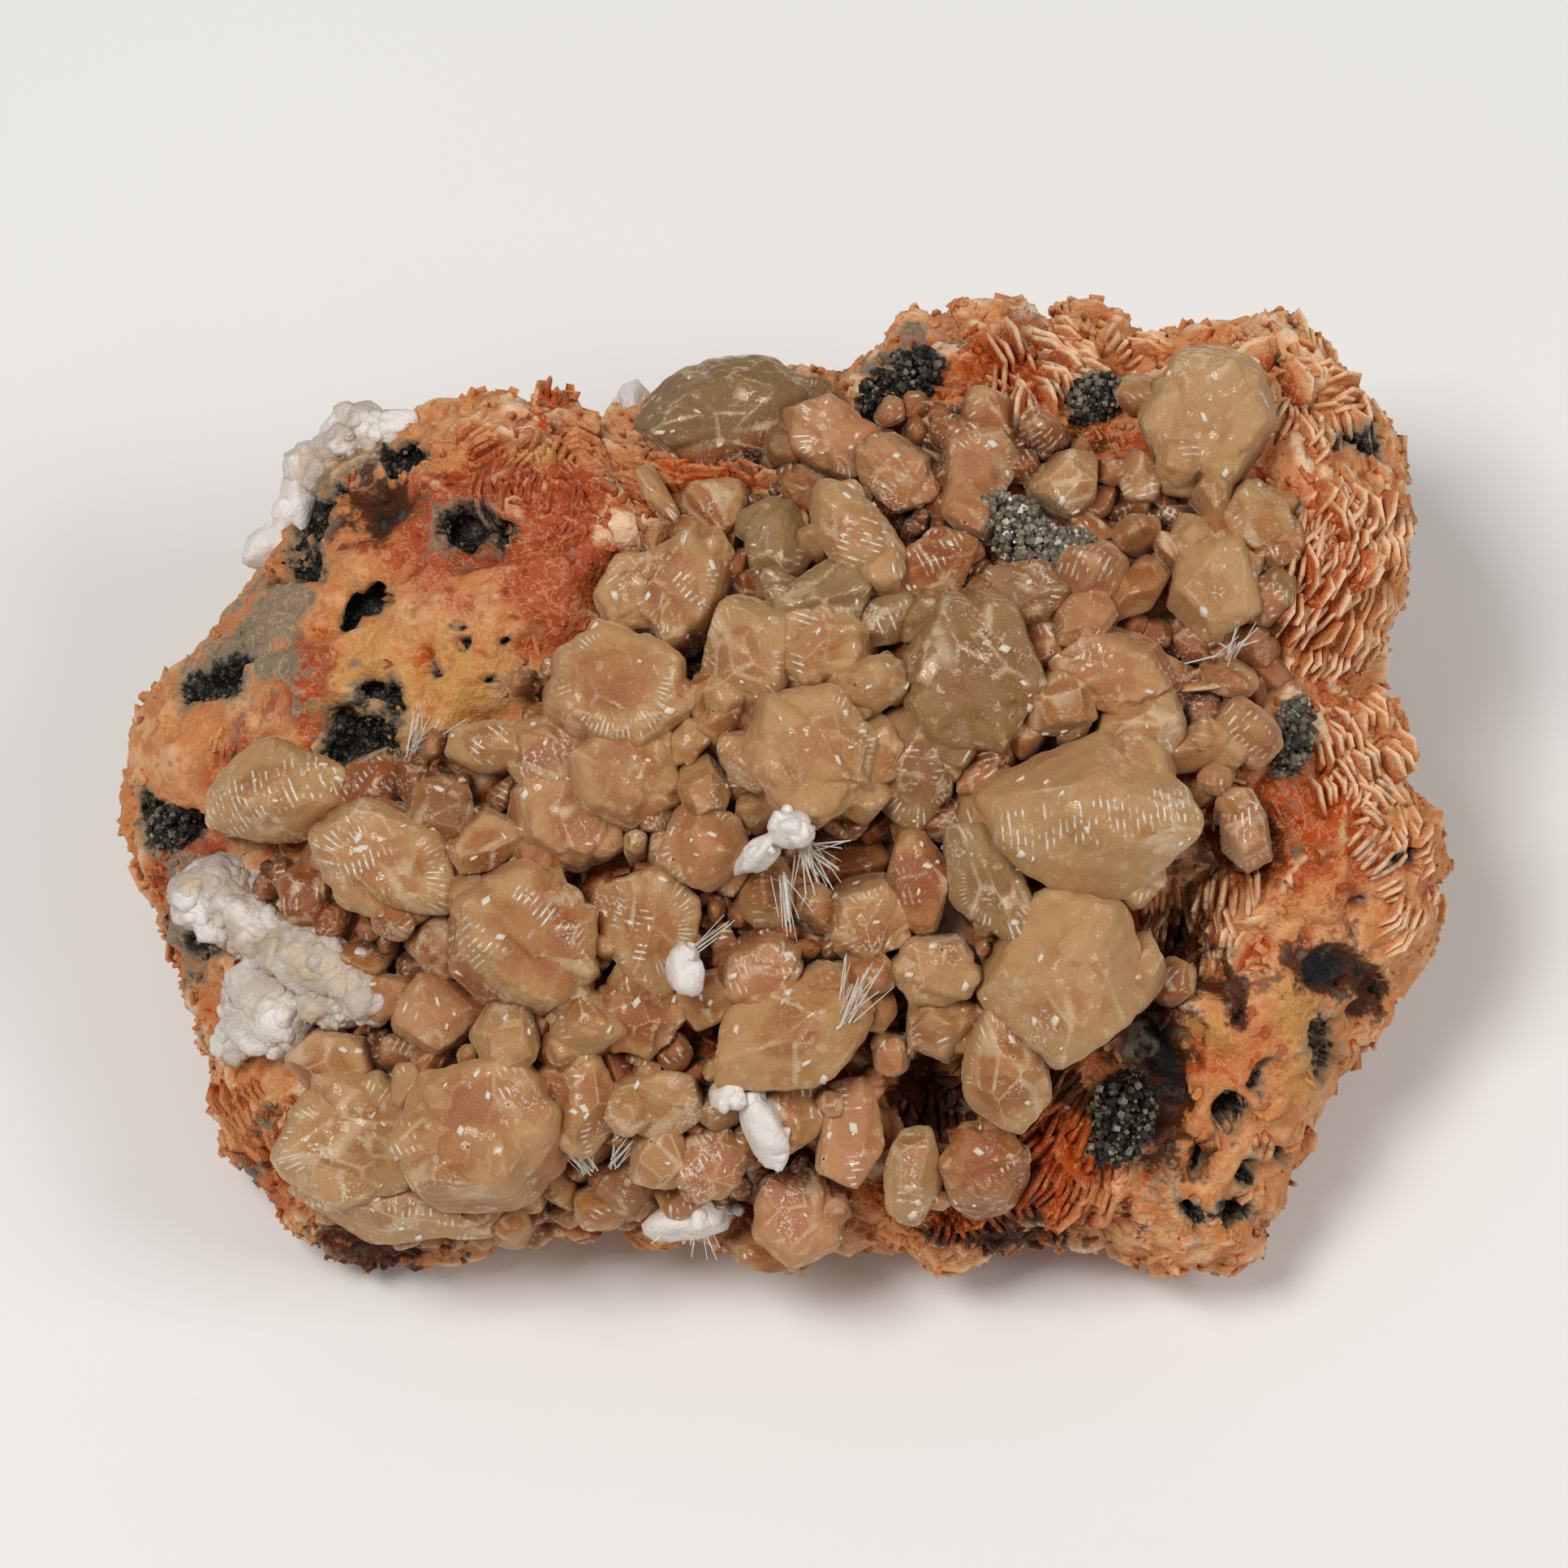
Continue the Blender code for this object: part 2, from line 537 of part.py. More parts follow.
def new_material(name, colour, roughness, metallic=0.0, transmission=0.0):
    """A Principled material."""
    made = bpy.data.materials.new(name)
    made.use_nodes = True
    surface = made.node_tree.nodes["Principled BSDF"]
    surface.inputs["Base Color"].default_value = (*colour, 1.0)
    surface.inputs["Roughness"].default_value = roughness
    surface.inputs["Metallic"].default_value = metallic
    surface.inputs["Transmission Weight"].default_value = transmission
    return made


def turned_axes(turn, lean, pitch):
    """Rows are a piece's own axes in the face frame, after turning it and leaning it both ways."""
    cos_turn, sin_turn = math.cos(math.radians(turn)), math.sin(math.radians(turn))
    cos_lean, sin_lean = math.cos(math.radians(lean)), math.sin(math.radians(lean))
    cos_pitch, sin_pitch = math.cos(math.radians(pitch)), math.sin(math.radians(pitch))
    about_out = np.array(((cos_turn, sin_turn, 0.0), (-sin_turn, cos_turn, 0.0), (0.0, 0.0, 1.0)))
    about_long = np.array(((1.0, 0.0, 0.0), (0.0, cos_lean, sin_lean), (0.0, -sin_lean, cos_lean)))
    about_wide = np.array(((cos_pitch, 0.0, -sin_pitch), (0.0, 1.0, 0.0), (sin_pitch, 0.0, cos_pitch)))
    return about_wide @ about_long @ about_out


def pointing(azimuth, elevation):
    """The unit vector at this azimuth and elevation, in degrees."""
    around, climb = math.radians(azimuth), math.radians(elevation)
    level = math.cos(climb)
    return np.array((level * math.cos(around), level * math.sin(around), math.sin(climb)))


class Shape(NamedTuple):
    """A crystal worked out: its middle, its half sizes along its axes, and its faces."""

    node: str
    middle: np.ndarray
    axes: np.ndarray
    halves: np.ndarray
    normals: np.ndarray
    distances: np.ndarray

    def support(self, direction):
        """About how far the crystal reaches from its middle in this direction."""
        return CORNER_REACH * float(np.linalg.norm(self.halves * (self.axes @ direction)))


def crystal_shape(node, crystal, seed):
    """The crystal's faces, from its form, with each face's azimuth and distance scattered a little."""
    draw = np.random.default_rng(seed)
    lean, pitch = draw.uniform(-LEAN_SCATTER, LEAN_SCATTER, 2)
    axes = turned_axes(crystal.turn, lean, pitch)
    reach_down = crystal.rise + ROOT_DEPTH
    above = np.array((crystal.half_length, crystal.half_width, crystal.half_depth))
    below = np.array((crystal.half_length, crystal.half_width, reach_down / ROOT_LEVEL))
    height = height_at(crystal.u, crystal.v) + crystal.rise
    normals = [np.array((0.0, 0.0, -1.0))]
    distances = [reach_down]
    rings = HABITS[crystal.habit]
    if crystal.half_length > SMALL_CRYSTAL:
        rings = (*rings, ROOT_FACES)
    for count, first, elevation, distance in rings:
        halves = above if elevation > 0 else below
        for index in range(count):
            azimuth = first + 360.0 * index / count + draw.uniform(-1, 1) * AZIMUTH_SCATTER
            normal = (pointing(azimuth, elevation) / halves) @ axes
            length = np.linalg.norm(normal)
            normals.append(normal / length)
            distances.append(distance * (1.0 + draw.uniform(-FACE_SCATTER, FACE_SCATTER)) / length)
    middle = np.array((crystal.u, crystal.v, height))
    return Shape(node, middle, axes, np.maximum(above, below), np.array(normals), np.array(distances))


def separate(shapes):
    """Gives crystals of different nodes a flat face between them where they would meet."""
    extra = {index: [] for index in range(len(shapes))}
    for (first, one), (second, other) in itertools.combinations(enumerate(shapes), 2):
        if one.node == other.node:
            continue
        between = other.middle - one.middle
        apart = np.linalg.norm(between)
        direction = between / apart
        reach_one = one.support(direction)
        reach_other = other.support(-direction)
        if reach_one + reach_other + GAP < apart:
            continue
        contact = (reach_one + apart - reach_other) / 2.0
        extra[first].append((direction, contact - GAP / 2.0))
        extra[second].append((-direction, apart - contact - GAP / 2.0))
    parted = []
    for index, shape in enumerate(shapes):
        normals = np.array([*shape.normals, *(plane[0] for plane in extra[index])])
        distances = np.array([*shape.distances, *(plane[1] for plane in extra[index])])
        parted.append(shape._replace(normals=normals, distances=distances))
    return parted


def cut_off(body, place, facing):
    """Cuts away what lies beyond the plane at this place, and closes the cut with one face."""
    whole = [*body.verts, *body.edges, *body.faces]
    cut = bmesh.ops.bisect_plane(
        body, geom=whole, dist=1e-7, plane_co=place, plane_no=facing, clear_outer=True
    )
    edges = [item for item in cut["geom_cut"] if isinstance(item, bmesh.types.BMEdge)]
    if edges:
        bmesh.ops.contextual_create(body, geom=edges)


def cut_crystal(shape, swell):
    """A block cut down by each of the crystal's faces, moved outwards by swell."""
    body = bmesh.new()
    bmesh.ops.create_cube(body, size=4.0 * float(shape.halves.max()) * MM)
    for vertex in body.verts:
        vertex.co = (np.array(vertex.co) / MM) @ FACE_AXES * MM
        vertex.co = np.array(vertex.co) + to_world(shape.middle)
    for normal, distance in zip(shape.normals, shape.distances):
        cut_off(body, to_world(shape.middle + normal * (distance + swell)), normal @ FACE_AXES)
    bmesh.ops.recalc_face_normals(body, faces=body.faces)
    return body


def room_about(points, axes):
    """A plain block with few faces that holds these world points with the gap all round."""
    body = bmesh.new()
    middle = (points.max(axis=0) + points.min(axis=0)) / 2.0
    bmesh.ops.create_cube(body, size=4.0 * float(np.ptp(points, axis=0).max()))
    for vertex in body.verts:
        vertex.co = np.array(vertex.co) + middle
    for count, first, elevation in ROOM_RINGS:
        for index in range(count):
            facing = pointing(first + 360.0 * index / count, elevation) @ axes @ FACE_AXES
            cut_off(body, facing * (float((points @ facing).max()) + GAP * MM), facing)
    bmesh.ops.recalc_face_normals(body, faces=body.faces)
    return body


def lump(lobe, seed, swell):
    """A small ball stretched to the lobe's sizes, with a knobbly surface."""
    body = bmesh.new()
    bmesh.ops.create_uvsphere(body, u_segments=LUMP_SEGMENTS, v_segments=LUMP_RINGS, radius=1.0)
    units = np.array([vertex.co for vertex in body.verts])
    draw = np.random.default_rng(seed)
    axes = turned_axes(lobe.turn, *draw.uniform(-LEAN_SCATTER, LEAN_SCATTER, 2))
    halves = np.array((lobe.half_length, lobe.half_width, lobe.half_depth))
    knobs = 1.0 + LUMP_ROUGHNESS * lattice_noise(units + seed, KNOB_SIZE, KNOB_SEED)
    height = height_at(lobe.u, lobe.v) + lobe.rise
    middle = np.array((lobe.u, lobe.v, height))
    points = to_world(middle + (units * (halves * knobs[:, None] + swell)) @ axes)
    for vertex, point in zip(body.verts, points):
        vertex.co = point
    return body


def points_of(target):
    """The corners of an object's mesh."""
    return np.array([vertex.co for vertex in target.data.vertices])


def near(one, other):
    """Whether the boxes of two objects meet."""
    here, there = points_of(one), points_of(other)
    before = np.all(here.min(axis=0) <= there.max(axis=0))
    behind = np.all(there.min(axis=0) <= here.max(axis=0))
    return bool(before and behind)


def build_rock(collection, helpers):
    """The barite rock: a ball drawn out to the specimen's form, simplified, cut flat, with blades."""
    body = bmesh.new()
    bmesh.ops.create_icosphere(body, subdivisions=ROCK_SUBDIVISIONS, radius=1.0)
    directions = np.array([vertex.co for vertex in body.verts])
    directions /= np.linalg.norm(directions, axis=1)[:, None]
    for vertex, point in zip(body.verts, rock_point(directions)):
        vertex.co = point
    rock = new_object("barite_matrix", body, collection)
    simplify = rock.modifiers.new("Simplify", "DECIMATE")
    simplify.ratio = ROCK_TRIANGLES / len(rock.data.polygons)
    settle(rock)
    flat = bmesh.new()
    flat.from_mesh(rock.data)
    cut_off(flat, (0.0, 0.0, 0.0), (0.0, 0.0, -1.0))
    flat.to_mesh(rock.data)
    flat.free()
    combine(rock, "UNION", build_blades(helpers))
    combine(rock, "DIFFERENCE", [build_leg_gap(helpers)])
    return rock


def build_box(name, middle, halves, axes, helpers):
    """A box in the face frame."""
    body = bmesh.new()
    bmesh.ops.create_cube(body, size=2.0)
    units = np.array([vertex.co for vertex in body.verts])
    for vertex, point in zip(body.verts, to_world(middle + (units * halves) @ axes)):
        vertex.co = point
    bmesh.ops.recalc_face_normals(body, faces=body.faces)
    return new_helper(name, body, helpers)


def build_leg_gap(helpers):
    """The cutter for the gap between the two legs."""
    u, v, half_width, half_height = LEG_GAP
    halves = np.array((half_width, half_height, LEG_GAP_DEPTH / 2.0))
    axes = turned_axes(LEG_GAP_TURN, 0.0, 0.0)
    return build_box("leg_gap", np.array((u, v, 0.0)), halves, axes, helpers)


def build_blades(helpers):
    """Every barite blade, bank by bank, standing on edge in the rock."""
    blades = []
    for step, bank in enumerate(BLADE_BANKS):
        draw = np.random.default_rng(BLADE_SEED + step)
        for index in range(bank.count):
            u = bank.u + draw.uniform(-1, 1) * bank.spread_u
            v = bank.v + draw.uniform(-1, 1) * bank.spread_v
            size = draw.uniform(*BLADE_SIZES)
            turn = bank.turn + draw.uniform(-1, 1) * bank.scatter
            lean = draw.uniform(-1, 1) * BLADE_LEAN
            pitch = draw.uniform(-1, 1) * BLADE_PITCH
            height = height_at(u, v) + draw.uniform(*BLADE_PROUD)
            halves = np.array((bank.length * size, BLADE_THICKNESS * size, BLADE_DEPTH)) / 2.0
            axes = turned_axes(turn, lean, pitch)
            middle = np.array((u, v, height)) - axes[2] * BLADE_DEPTH / 2.0
            blades.append(build_box(f"blade_{bank.name}_{index}", middle, halves, axes, helpers))
    return blades


def build_crystals(collection, helpers):
    """All cerussite nodes, and the swollen copies that make room for them in what they grow from."""
    rows = [(node, crystal) for node, crystals in CERUSSITE.items() for crystal in crystals]
    seeds = itertools.count(CRYSTAL_SEED)
    shapes = separate([crystal_shape(node, crystal, next(seeds)) for node, crystal in rows])
    nodes = []
    close_rooms = []
    plain_rooms = []
    for node in CERUSSITE:
        own = [shape for shape in shapes if shape.node == node]
        main = new_object(f"cerussite_{node}", cut_crystal(own[0], 0.0), collection)
        rest = [new_helper(f"{node}_grown", cut_crystal(shape, 0.0), helpers) for shape in own[1:]]
        combine(main, "UNION", rest)
        nodes.append(main)
        for shape in own:
            close_rooms.append(new_helper(f"{node}_close", cut_crystal(shape, GAP), helpers))
        room = room_about(points_of(main), own[0].axes)
        plain_rooms.append(new_helper(f"{node}_room", room, helpers))
    return nodes, close_rooms, plain_rooms


def build_lumps(table, seed, rooms, collection, helpers):
    """Nodes made of joined lobes, cut back from the rooms of what was there before them."""
    nodes = []
    close_rooms = []
    plain_rooms = []
    for index, (name, lobes) in enumerate(table.items()):
        first = seed + LUMP_SEED_STEP * index
        main = new_object(name, lump(lobes[0], first, 0.0), collection)
        rest = []
        for step, lobe in enumerate(lobes[1:], 1):
            rest.append(new_helper(f"{name}_lobe", lump(lobe, first + step, 0.0), helpers))
        combine(main, "UNION", rest)
        combine(main, "DIFFERENCE", [room for room in rooms if near(main, room)])
        main.data.shade_smooth()
        nodes.append(main)
        for step, lobe in enumerate(lobes):
            close = new_helper(f"{name}_close", lump(lobe, first + step, GAP), helpers)
            close_rooms.append(close)
            room = room_about(points_of(close), turned_axes(lobe.turn, 0.0, 0.0))
            plain_rooms.append(new_helper(f"{name}_room", room, helpers))
    return nodes, close_rooms, plain_rooms


def main():
    """Clears the scene and builds the specimen."""
    for old in list(bpy.data.objects):
        bpy.data.objects.remove(old)
    parts = new_collection("barite_with_cerussite")
    helpers = new_collection("cutters")
    barite = new_material("barite", (0.66, 0.36, 0.20), 0.75)
    cerussite = new_material("cerussite", (0.62, 0.42, 0.22), 0.25, transmission=0.5)
    crust_white = new_material("white_crust", (0.85, 0.83, 0.80), 0.6)
    galena = new_material("galena", (0.09, 0.09, 0.10), 0.4, metallic=0.7)

    crystals, crystal_close, crystal_rooms = build_crystals(parts, helpers)
    crusts, crust_close, crust_rooms = build_lumps(CRUST, CRUST_SEED, crystal_close, parts, helpers)
    taken = crystal_close + crust_close
    lumps, _, lump_rooms = build_lumps(GALENA, GALENA_SEED, taken, parts, helpers)
    rock = build_rock(parts, helpers)
    combine(rock, "DIFFERENCE", crystal_rooms + crust_rooms + lump_rooms)

    dressed = ((barite, [rock]), (cerussite, crystals), (crust_white, crusts), (galena, lumps))
    for material, pieces in dressed:
        for piece in pieces:
            piece.data.materials.clear()
            piece.data.materials.append(material)
    total = 0
    for piece in parts.objects:
        piece.data.calc_loop_triangles()
        total += len(piece.data.loop_triangles)
    print(f"{len(parts.objects)} pieces, {total} triangles")


main()
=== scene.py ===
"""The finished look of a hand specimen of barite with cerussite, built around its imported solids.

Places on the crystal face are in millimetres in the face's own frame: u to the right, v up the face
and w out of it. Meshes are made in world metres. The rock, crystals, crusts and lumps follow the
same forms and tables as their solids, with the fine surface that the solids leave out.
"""

import itertools
import logging
import math
from dataclasses import dataclass
from enum import Enum
from typing import Any, Iterable, NamedTuple, Sequence

import bpy
import numpy as np
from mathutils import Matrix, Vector


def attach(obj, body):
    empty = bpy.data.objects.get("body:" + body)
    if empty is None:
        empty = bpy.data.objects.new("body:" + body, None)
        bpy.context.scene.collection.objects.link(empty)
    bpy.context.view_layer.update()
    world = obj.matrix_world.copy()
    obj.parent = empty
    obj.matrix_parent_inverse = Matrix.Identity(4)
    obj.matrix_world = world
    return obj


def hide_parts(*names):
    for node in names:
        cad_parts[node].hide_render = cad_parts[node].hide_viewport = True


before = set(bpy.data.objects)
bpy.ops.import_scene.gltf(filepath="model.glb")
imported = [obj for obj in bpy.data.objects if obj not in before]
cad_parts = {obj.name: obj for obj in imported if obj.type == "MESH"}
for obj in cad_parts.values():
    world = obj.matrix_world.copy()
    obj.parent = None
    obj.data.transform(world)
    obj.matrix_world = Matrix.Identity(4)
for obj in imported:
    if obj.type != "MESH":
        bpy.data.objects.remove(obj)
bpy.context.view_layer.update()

Array = np.ndarray
MM = 0.001
PER_MM = 1.0 / MM
LOG = logging.getLogger("specimen")
# Cells along each side of the repeating lattice of random numbers
LATTICE = 24
# Soft clouds that the finishes read: strength, size in millimetres and seed of each layer
CLOUD_LAYERS = ((0.3, 2.6, 81), (0.2, 1.1, 82))
# Degrees that a crystal, lobe or lump leans at most from the face
LEAN = 13.0


def srgb(red: int, green: int, blue: int) -> tuple[float, float, float]:
    """Linear colour from the 0 to 255 values that a screen shows."""
    shares = (value / 255.0 for value in (red, green, blue))
    return tuple(share / 12.92 if share < 0.04045 else ((share + 0.055) / 1.055) ** 2.4 for share in shares)


def smooth_random(points: Array, size: float, seed: int) -> Array:
    """Smooth random values: random numbers on a repeating cubic lattice, blended between its corners.

    Args:
        points: places to read, with three coordinates on the last axis.
        size: length of one lattice cell.
        seed: picks the random numbers.

    Returns:
        A value from -1 to 1 for each place.
    """
    table = np.random.default_rng(seed).uniform(-1.0, 1.0, (LATTICE, LATTICE, LATTICE))
    cells = np.asarray(points) / size
    low = np.floor(cells).astype(int)
    part = cells - low
    part = part * part * (3.0 - 2.0 * part)
    total = np.zeros(cells.shape[:-1])
    for corner in itertools.product((0, 1), repeat=3):
        index = (low + corner) % LATTICE
        weight = np.prod(np.where(corner, part, 1.0 - part), axis=-1)
        total += weight * table[index[..., 0], index[..., 1], index[..., 2]]
    return total


def layered_random(points: Array, rows: Iterable[tuple[float, float, int]]) -> Array:
    """Sum of smooth random values, one for each row of strength, size and seed."""
    return sum(strength * smooth_random(points, size, seed) for strength, size, seed in rows)


def smooth_step(values: Array, low: float, high: float) -> Array:
    """0 below low and 1 above high, with a soft curve between: 3t squared less 2t cubed."""
    share = np.clip((values - low) / (high - low), 0.0, 1.0)
    return share * share * (3.0 - 2.0 * share)


def spots(u: Array, v: Array, rows: Iterable[Sequence[float]]) -> Array:
    """Sum of bell-shaped spots, each exp(-(du/across)^2 - (dv/up)^2) times its height.

    Args:
        u: places across the face.
        v: places up the face.
        rows: each spot's u, v, radius across, radius up and height.

    Returns:
        The sum at each place.
    """
    total = np.zeros_like(u, dtype=float)
    for centre_u, centre_v, across, up, height in rows:
        total += height * np.exp(-(((u - centre_u) / across) ** 2) - ((v - centre_v) / up) ** 2)
    return total


def unit(vectors: Array) -> Array:
    """The vectors at length 1."""
    return vectors / np.maximum(np.linalg.norm(vectors, axis=-1, keepdims=True), 1e-12)


def turned_axes(turn: float, lean: float, pitch: float) -> Array:
    """A piece's own axes in the face frame, after turning it and leaning it both ways.

    Args:
        turn: degrees about the way out of the face.
        lean: degrees about the piece's length.
        pitch: degrees about its width.

    Returns:
        The three axes as rows.
    """
    cos_turn, sin_turn = math.cos(math.radians(turn)), math.sin(math.radians(turn))
    cos_lean, sin_lean = math.cos(math.radians(lean)), math.sin(math.radians(lean))
    cos_pitch, sin_pitch = math.cos(math.radians(pitch)), math.sin(math.radians(pitch))
    about_out = np.array(((cos_turn, sin_turn, 0.0), (-sin_turn, cos_turn, 0.0), (0.0, 0.0, 1.0)))
    about_long = np.array(((1.0, 0.0, 0.0), (0.0, cos_lean, sin_lean), (0.0, -sin_lean, cos_lean)))
    about_wide = np.array(((cos_pitch, 0.0, -sin_pitch), (0.0, 1.0, 0.0), (sin_pitch, 0.0, cos_pitch)))
    return about_wide @ about_long @ about_out


# The rock's outline in the face frame, (u, v), clockwise from the notch at the upper left
OUTLINE = (
    (-11.1, 22.2), (-10.2, 23.4), (-8.3, 23.6), (-5.8, 24.3), (-0.3, 25.4), (4.0, 25.3), (5.5, 26.5),
    (6.7, 27.3), (8.0, 29.4), (9.7, 29.0), (13.5, 30.2), (16.7, 29.0), (19.0, 29.8), (21.0, 29.0),
    (22.3, 27.3), (26.2, 28.1), (31.0, 29.2), (32.7, 28.5), (34.5, 26.3), (37.5, 23.0), (37.6, 21.8),
    (39.0, 17.8),
    (38.9, 15.3), (38.2, 12.3), (37.0, 9.3), (36.5, 5.8), (38.0, 4.0), (38.7, 0.0), (40.7, -2.7),
    (41.1, -4.2), (41.0, -8.7), (39.0, -11.5), (38.2, -13.2), (34.7, -18.0), (32.0, -23.2),
    (30.0, -27.5), (29.2, -29.2), (27.2, -29.9), (24.2, -30.3), (21.7, -29.5), (20.5, -28.5),
    (19.6, -26.7), (17.8, -28.3), (14.0, -28.6), (10.0, -30.0), (7.2, -28.7), (2.2, -28.5),
    (-3.1, -28.5), (-4.8, -28.0), (-11.1, -27.2), (-16.3, -27.6), (-19.3, -29.0), (-23.6, -30.0),
    (-28.3, -29.4), (-29.1, -28.2), (-32.1, -26.0), (-34.7, -22.2), (-35.7, -16.7), (-36.6, -13.7),
    (-38.6, -9.0), (-40.8, -4.7), (-41.2, -1.7), (-40.8, 2.6), (-39.6, 5.3), (-36.6, 8.3),
    (-34.7, 10.6), (-33.3, 12.3), (-31.1, 16.1), (-30.3, 17.8), (-28.3, 20.3), (-26.8, 21.8),
    (-23.3, 23.0), (-17.6, 24.4), (-16.3, 23.3), (-13.8, 24.0), (-13.1, 22.8), (-12.3, 22.0),
)

# Swells and hollows of the face, and the pits that galena has left: u, v, across, up, height
SWELLS = (
    (18.0, 24.0, 13.0, 4.5, 2.6),
    (34.0, 15.0, 4.5, 9.0, 2.8),
    (38.0, -6.0, 4.0, 5.0, 2.0),
    (31.0, -18.0, 5.0, 8.0, 3.4),
    (-24.0, 12.0, 9.0, 8.0, 1.6),
    (-8.0, 18.0, 6.0, 3.0, 1.5),
    (24.5, -9.0, 3.5, 3.5, -5.0),
    (20.6, -19.3, 3.0, 4.2, -3.0),
    (9.5, -19.5, 3.5, 3.5, -3.5),
    (4.5, -4.7, 2.5, 2.5, -3.0),
    (-26.5, -15.6, 4.0, 1.6, -2.4),
    (23.0, 9.0, 2.4, 3.0, -2.0),
)
PITS = (
    (-23.0, 20.5, 1.7, 1.1, 4.0),
    (-29.3, 15.0, 1.4, 2.2, 3.2),
    (-25.5, 11.2, 1.2, 1.1, 3.4),
    (-18.6, 14.7, 2.0, 1.5, 3.2),
    (-26.2, 2.3, 2.2, 2.0, 2.2),
    (-35.4, 6.1, 1.8, 1.8, 2.2),
    (-25.2, 6.0, 1.2, 1.0, 1.8),
    (27.7, -21.0, 1.1, 1.1, 2.6),
    (30.2, -23.7, 1.1, 1.1, 2.6),
    (27.6, -26.3, 1.2, 1.0, 2.6),
)


class Habit(Enum):
    """Crystal forms: rings of faces, each a count, first azimuth, elevation and distance."""

    TABLET = ((7, 0, 4, 1.00), (4, 25, 46, 0.94), (1, 0, 88, 0.76))
    LENS = ((6, 0, 38, 0.90), (4, 45, -30, 0.95), (2, 0, 2, 1.0), (1, 0, 86, 0.97))
    BLOCK = ((5, 12, 4, 0.98), (4, 40, 50, 0.92), (1, 0, 84, 0.88))
    ROUND = ((6, 0, 2, 1.00), (4, 20, 45, 0.97), (1, 0, 88, 0.92))
    PLATE = ((5, 18, 0, 1.00), (2, 65, 62, 0.74), (1, 245, 56, 0.86))
    FINGER = ((6, 30, 2, 1.00), (4, 45, 50, 0.94), (1, 0, 88, 0.90))


class Honey(Enum):
    """How dark, grey and pink a crystal is, each from 0 to 1."""

    PALE = (0.12, 0.15, 0.05)
    HONEY = (0.42, 0.10, 0.10)
    AMBER = (0.85, 0.10, 0.10)
    GREY = (0.40, 0.75, 0.00)
    OLIVE = (0.80, 0.60, 0.00)
    PINK = (0.40, 0.05, 0.75)
    # Darker and greyer for a crystal that sits in shade at the set-back top edge: painted shade
    DUSK = (1.30, 0.85, 0.00)


class Crystal(NamedTuple):
    """One crystal: its middle on the face, half sizes, turn, rise of its middle, form and tone."""

    u: float
    v: float
    half_length: float
    half_width: float
    half_depth: float
    turn: float
    rise: float
    habit: Habit
    honey: Honey


TABLET, LENS, BLOCK, ROUND, PLATE, FINGER = Habit
PALE, HONEY, AMBER, GREY, OLIVE, PINK, DUSK = Honey

